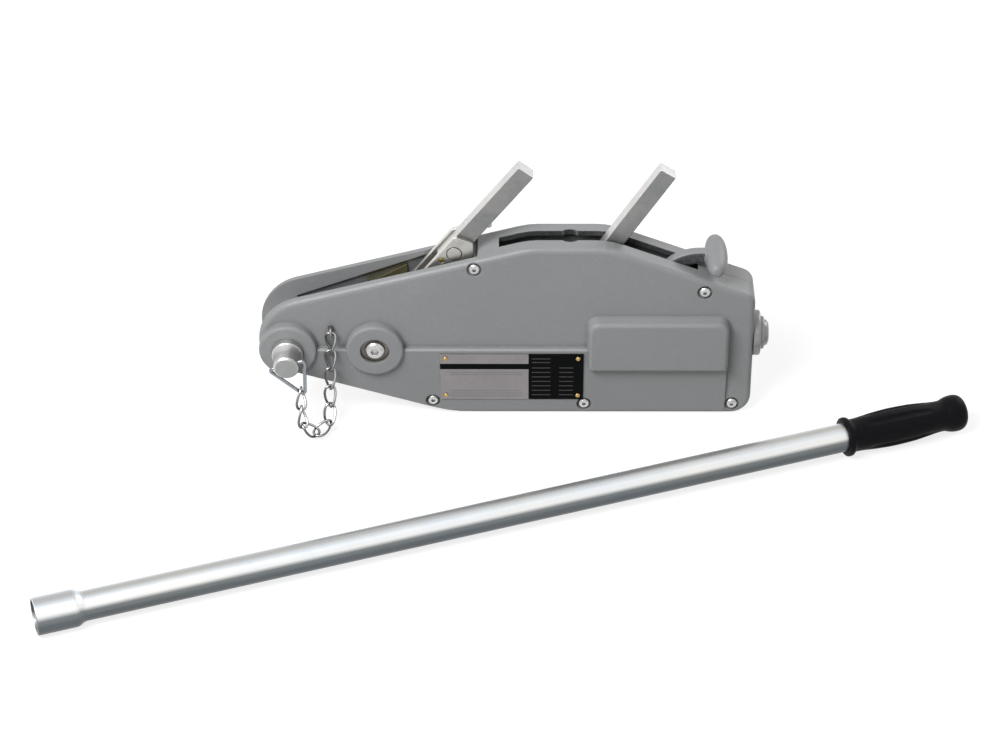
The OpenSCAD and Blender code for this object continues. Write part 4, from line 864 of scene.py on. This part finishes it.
springShape = {"wire": 0.55, "turns": 9, "perTurn": 28, "sides": 10, "keep": 0.72}


def buildSpring(shape):
    low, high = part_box("release_spring")
    wire = shape["wire"] * mm
    radius = (high.z - low.z) / 2 - wire
    middle = (low + high) / 2
    steps = shape["turns"] * shape["perTurn"]
    span = high.x - low.x - 2 * wire
    line = []
    for k in range(steps + 1):
        t = k / steps
        a = math.tau * shape["turns"] * t
        y, z = middle.y + radius * math.cos(a), middle.z + radius * math.sin(a)
        line.append(Vector((low.x + wire + span * t, y, z)))
    points, faces = sweepTube(line, wire, shape["sides"], closed=False)
    spring = meshPiece("returnSpring", points, faces, brightSteel)
    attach(spring, "casing")
    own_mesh(spring)
    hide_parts("release_spring")


buildSpring(springShape)
print("clip and spring built")


# rubber grip: turned body with scooped flutes
gripShape = {
    "tubeLength": 790.0, "length": 110.0, "around": 128,
    "profile": (
        (0.0, 12.1), (0.1, 15.2), (1.2, 16.4), (2.8, 16.5), (4.4, 16.2), (5.6, 15.0), (6.6, 14.1),
        (8.5, 13.8), (12.0, 13.85), (18.0, 14.3), (28.0, 15.2), (44.0, 15.9), (60.0, 15.5), (72.0, 14.4),
        (82.0, 13.3), (87.0, 13.0), (90.0, 13.2), (93.0, 14.2), (97.0, 15.2), (101.0, 15.5), (104.5, 15.0),
        (107.3, 13.4), (109.2, 10.6), (109.9, 6.6), (110.0, 0.05),
    ),
    "step": 1.2, "fineStep": 0.35, "fineAt": (3.0, 108.5), "fineReach": 4.5, "endGap": 0.001,
    "flutes": 8, "fluteDepth": 1.7, "fluteWidth": 12.0, "fluteFrom": 19.0, "fluteTo": 79.0, "fluteTurn": 22.5,
    "fadeGain": 1.6, "fadePower": 0.8, "scoopPower": 1.5,
}


def profileRadius(profile, at):
    # smooth through the listed points without overshoot
    last = len(profile) - 1
    i = max(k for k in range(last) if profile[k][0] <= at)
    (x0, y0), (x1, y1) = profile[i], profile[i + 1]
    h = x1 - x0
    slope = (y1 - y0) / h

    def tangent(k):
        if k == 0 or k == last:
            return 0.0
        before = (profile[k][1] - profile[k - 1][1]) / (profile[k][0] - profile[k - 1][0])
        after = (profile[k + 1][1] - profile[k][1]) / (profile[k + 1][0] - profile[k][0])
        return 0.0 if before * after <= 0 else 2 * before * after / (before + after)

    m0 = tangent(i) if i > 0 else slope
    m1 = tangent(i + 1) if i + 1 < last else slope
    f = (at - x0) / h
    return (
        (2 * f ** 3 - 3 * f ** 2 + 1) * y0 + (f ** 3 - 2 * f ** 2 + f) * h * m0
        + (-2 * f ** 3 + 3 * f ** 2) * y1 + (f ** 3 - f ** 2) * h * m1
    )


def buildGrip(shape):
    axis = handleAxis.normalized()
    side = axis.cross(Vector((0, 0, 1))).normalized()
    up = side.cross(axis)
    # the mount lies halfway down the socket, so the tube's far end is known from it
    reach = shape["tubeLength"] - socketMount["dims"]["length_mm"] / 2
    end = Vector(socketMount["pos_m"]) + axis * reach * mm
    stations, s = [], 0.0
    while s < shape["length"]:
        stations.append(s)
        near = min(abs(s - at) for at in shape["fineAt"])
        s += shape["fineStep"] if near < shape["fineReach"] else shape["step"]
    stations.append(shape["length"] - shape["endGap"])
    points, faces = [], []
    around = shape["around"]
    step = 360.0 / shape["flutes"]
    for s in stations:
        along = shape["length"] - s
        radius = profileRadius(shape["profile"], s)
        fade = 0.0
        if shape["fluteFrom"] < s < shape["fluteTo"]:
            f = (s - shape["fluteFrom"]) / (shape["fluteTo"] - shape["fluteFrom"])
            fade = min(1.0, math.sin(math.pi * f) * shape["fadeGain"]) ** shape["fadePower"]
        for k in range(around):
            angle = math.tau * k / around
            off = (math.degrees(angle) + shape["fluteTurn"] + step / 2) % step - step / 2
            scoop = max(0.0, 1.0 - (off / shape["fluteWidth"]) ** 2) ** shape["scoopPower"]
            r = (radius - shape["fluteDepth"] * fade * scoop) * mm
            points.append(end - axis * along * mm + (side * math.cos(angle) + up * math.sin(angle)) * r)
    for i in range(len(stations) - 1):
        for k in range(around):
            a, b = i * around + k, i * around + (k + 1) % around
            faces.append((a, b, b + around, a + around))
    faces.append(tuple(range((len(stations) - 1) * around, len(stations) * around)))
    grip = meshPiece("rubberGrip", points, faces, gripRubber)
    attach(grip, "handle")
    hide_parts("handle_grip")


buildGrip(gripShape)
print("grip built")


# release lever: the casting with its corners flowed together
castShape = {"voxel": 0.7, "smooth": 6, "factor": 0.5}


def buildCasting(shape):
    source = cadNodes["release_lever"]
    piece = bpy.data.objects.new("castReleaseLever", source.data.copy())
    stage.collection.objects.link(piece)
    remesh = piece.modifiers.new("flow", "REMESH")
    remesh.mode = "VOXEL"
    remesh.voxel_size = shape["voxel"] * mm
    remesh.use_smooth_shade = True
    soften = piece.modifiers.new("soften", "SMOOTH")
    soften.factor = shape["factor"]
    soften.iterations = shape["smooth"]
    made = bakeShape(piece, "castReleaseLever", casingPaint)
    made.polygons.foreach_set("use_smooth", [True] * len(made.polygons))
    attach(piece, "release")
    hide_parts("release_lever")
    print("casting:", len(made.vertices), "points")


buildCasting(castShape)


# levers, cheeks, anchor pin and guide: the CAD shape with its sharp corners broken
brokenCorners = {
    "forwardBar": {"node": "forward_lever_bar", "body": "forward_lever", "size": 0.9, "finish": leverZinc},
    "reverseBar": {"node": "reverse_lever", "body": "reverse", "size": 0.9, "finish": leverZinc},
    "frontCheek": {"node": "front_cheek", "body": "forward_lever", "size": 0.7, "finish": cheekZinc},
    "rearCheek": {"node": "rear_cheek", "body": "forward_lever", "size": 0.7, "finish": cheekZinc},
    "anchorPin": {"node": "anchor_pin", "body": "anchor", "size": 0.8, "finish": anchorSteel},
    "ropeGuide": {
        "node": "rope_guide", "body": "casing", "size": 0.7, "finish": guideZinc, "slot": "guide_zinc",
    },
}
# weld in mm, flat and sharp in degrees
cornerWork = {"weld": 0.005, "flat": 0.6, "sharp": 32.0, "segments": 3, "profile": 0.5}


def breakCorners(name, shape):
    sharp = math.radians(cornerWork["sharp"])
    mesh = cadNodes[shape["node"]].data.copy()
    mesh.name = name
    work = bmesh.new()
    work.from_mesh(mesh)
    bmesh.ops.remove_doubles(work, verts=work.verts, dist=cornerWork["weld"] * mm)
    flat = math.radians(cornerWork["flat"])
    bmesh.ops.dissolve_limit(work, angle_limit=flat, verts=work.verts, edges=work.edges)
    corners = [e for e in work.edges if e.is_manifold and e.is_convex and e.calc_face_angle() > sharp]
    bmesh.ops.bevel(
        work, geom=corners, offset=shape["size"] * mm, offset_type="OFFSET",
        segments=cornerWork["segments"], profile=cornerWork["profile"], affect="EDGES", clamp_overlap=True,
    )
    for face in work.faces:
        face.smooth = True
    for edge in work.edges:
        edge.smooth = not edge.is_manifold or edge.calc_face_angle() < sharp
    work.to_mesh(mesh)
    work.free()
    piece = bpy.data.objects.new(name, mesh)
    stage.collection.objects.link(piece)
    even = piece.modifiers.new("evenShading", "WEIGHTED_NORMAL")
    even.keep_sharp = True
    made = bakeShape(piece, name, shape["finish"])
    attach(piece, shape["body"])
    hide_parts(shape["node"])
    print("corners broken:", name, len(made.vertices), "points")


for pieceName, pieceShape in brokenCorners.items():
    breakCorners(pieceName, pieceShape)


# studio: pale floor and soft light
studio = {
    "floorSize": 14.0, "floorTone": 0.36, "floorGlow": 0.80, "floorRoughness": 0.9, "floorDrop": 0.0003,
    "worldLevel": 0.20,
}
lampSetup = {
    "topSoft": {
        "at": (-0.75, -1.0, 1.5), "aim": (0, 0, 0.05), "size": (1.0, 0.7), "power": 30.0,
        "tint": (0.975, 0.99, 1.0),
    },
    "frontFill": {"at": (-1.1, -1.9, 1.25), "aim": (0, 0, 0.08), "size": (1.4, 1.0), "power": 2.0},
    "sideEdge": {"at": (1.5, 1.2, 1.2), "aim": (0, 0, 0.08), "size": (1.0, 1.0), "power": 14.0},
}


def backgroundRays(tree):
    # rays that see the background: from the camera, from mirrors and through glass
    ray = addNode(tree, "ShaderNodeLightPath").outputs
    seen = mathNode(tree, "ADD", ray["Is Camera Ray"], ray["Is Glossy Ray"], True)
    return mathNode(tree, "ADD", seen, ray["Is Transmission Ray"], True)


def buildStudio(look):
    half = look["floorSize"] / 2
    paleFloor, tree, shader = startFinish("paleFloor")
    shader.inputs["Base Color"].default_value = rgba((look["floorTone"],) * 3)
    shader.inputs["Roughness"].default_value = look["floorRoughness"]
    shader.inputs["Specular IOR Level"].default_value = 0.0
    shader.inputs["Emission Color"].default_value = (1, 1, 1, 1)
    glow = mathNode(tree, "MULTIPLY", backgroundRays(tree), look["floorGlow"])
    tree.links.new(glow, shader.inputs["Emission Strength"])
    z = cadBox[0][2] - look["floorDrop"]
    corners = [(-half, -half, z), (half, -half, z), (half, half, z), (-half, half, z)]
    floor = meshPiece("floor", corners, [(0, 1, 2, 3)], paleFloor, False)
    world = bpy.data.worlds.new("softRoom")
    stage.world = world
    world.use_nodes = True
    tree = world.node_tree
    background = tree.nodes["Background"]
    background.inputs["Color"].default_value = (1, 1, 1, 1)
    level = mapRange(tree, backgroundRays(tree), 0.0, 1.0, look["worldLevel"], 1.0)
    tree.links.new(level, background.inputs["Strength"])


def buildLamps(setup):
    for name, lamp in setup.items():
        light = bpy.data.lights.new(name, "AREA")
        light.shape = "RECTANGLE"
        light.size, light.size_y = lamp["size"]
        light.energy = lamp["power"]
        light.color = lamp.get("tint", (1, 1, 1))
        piece = bpy.data.objects.new(name, light)
        piece.location = lamp["at"]
        aim = Vector(lamp["aim"]) - Vector(lamp["at"])
        piece.rotation_euler = aim.to_track_quat("-Z", "Y").to_euler()
        stage.collection.objects.link(piece)


buildStudio(studio)
buildLamps(lampSetup)
print("studio lit")
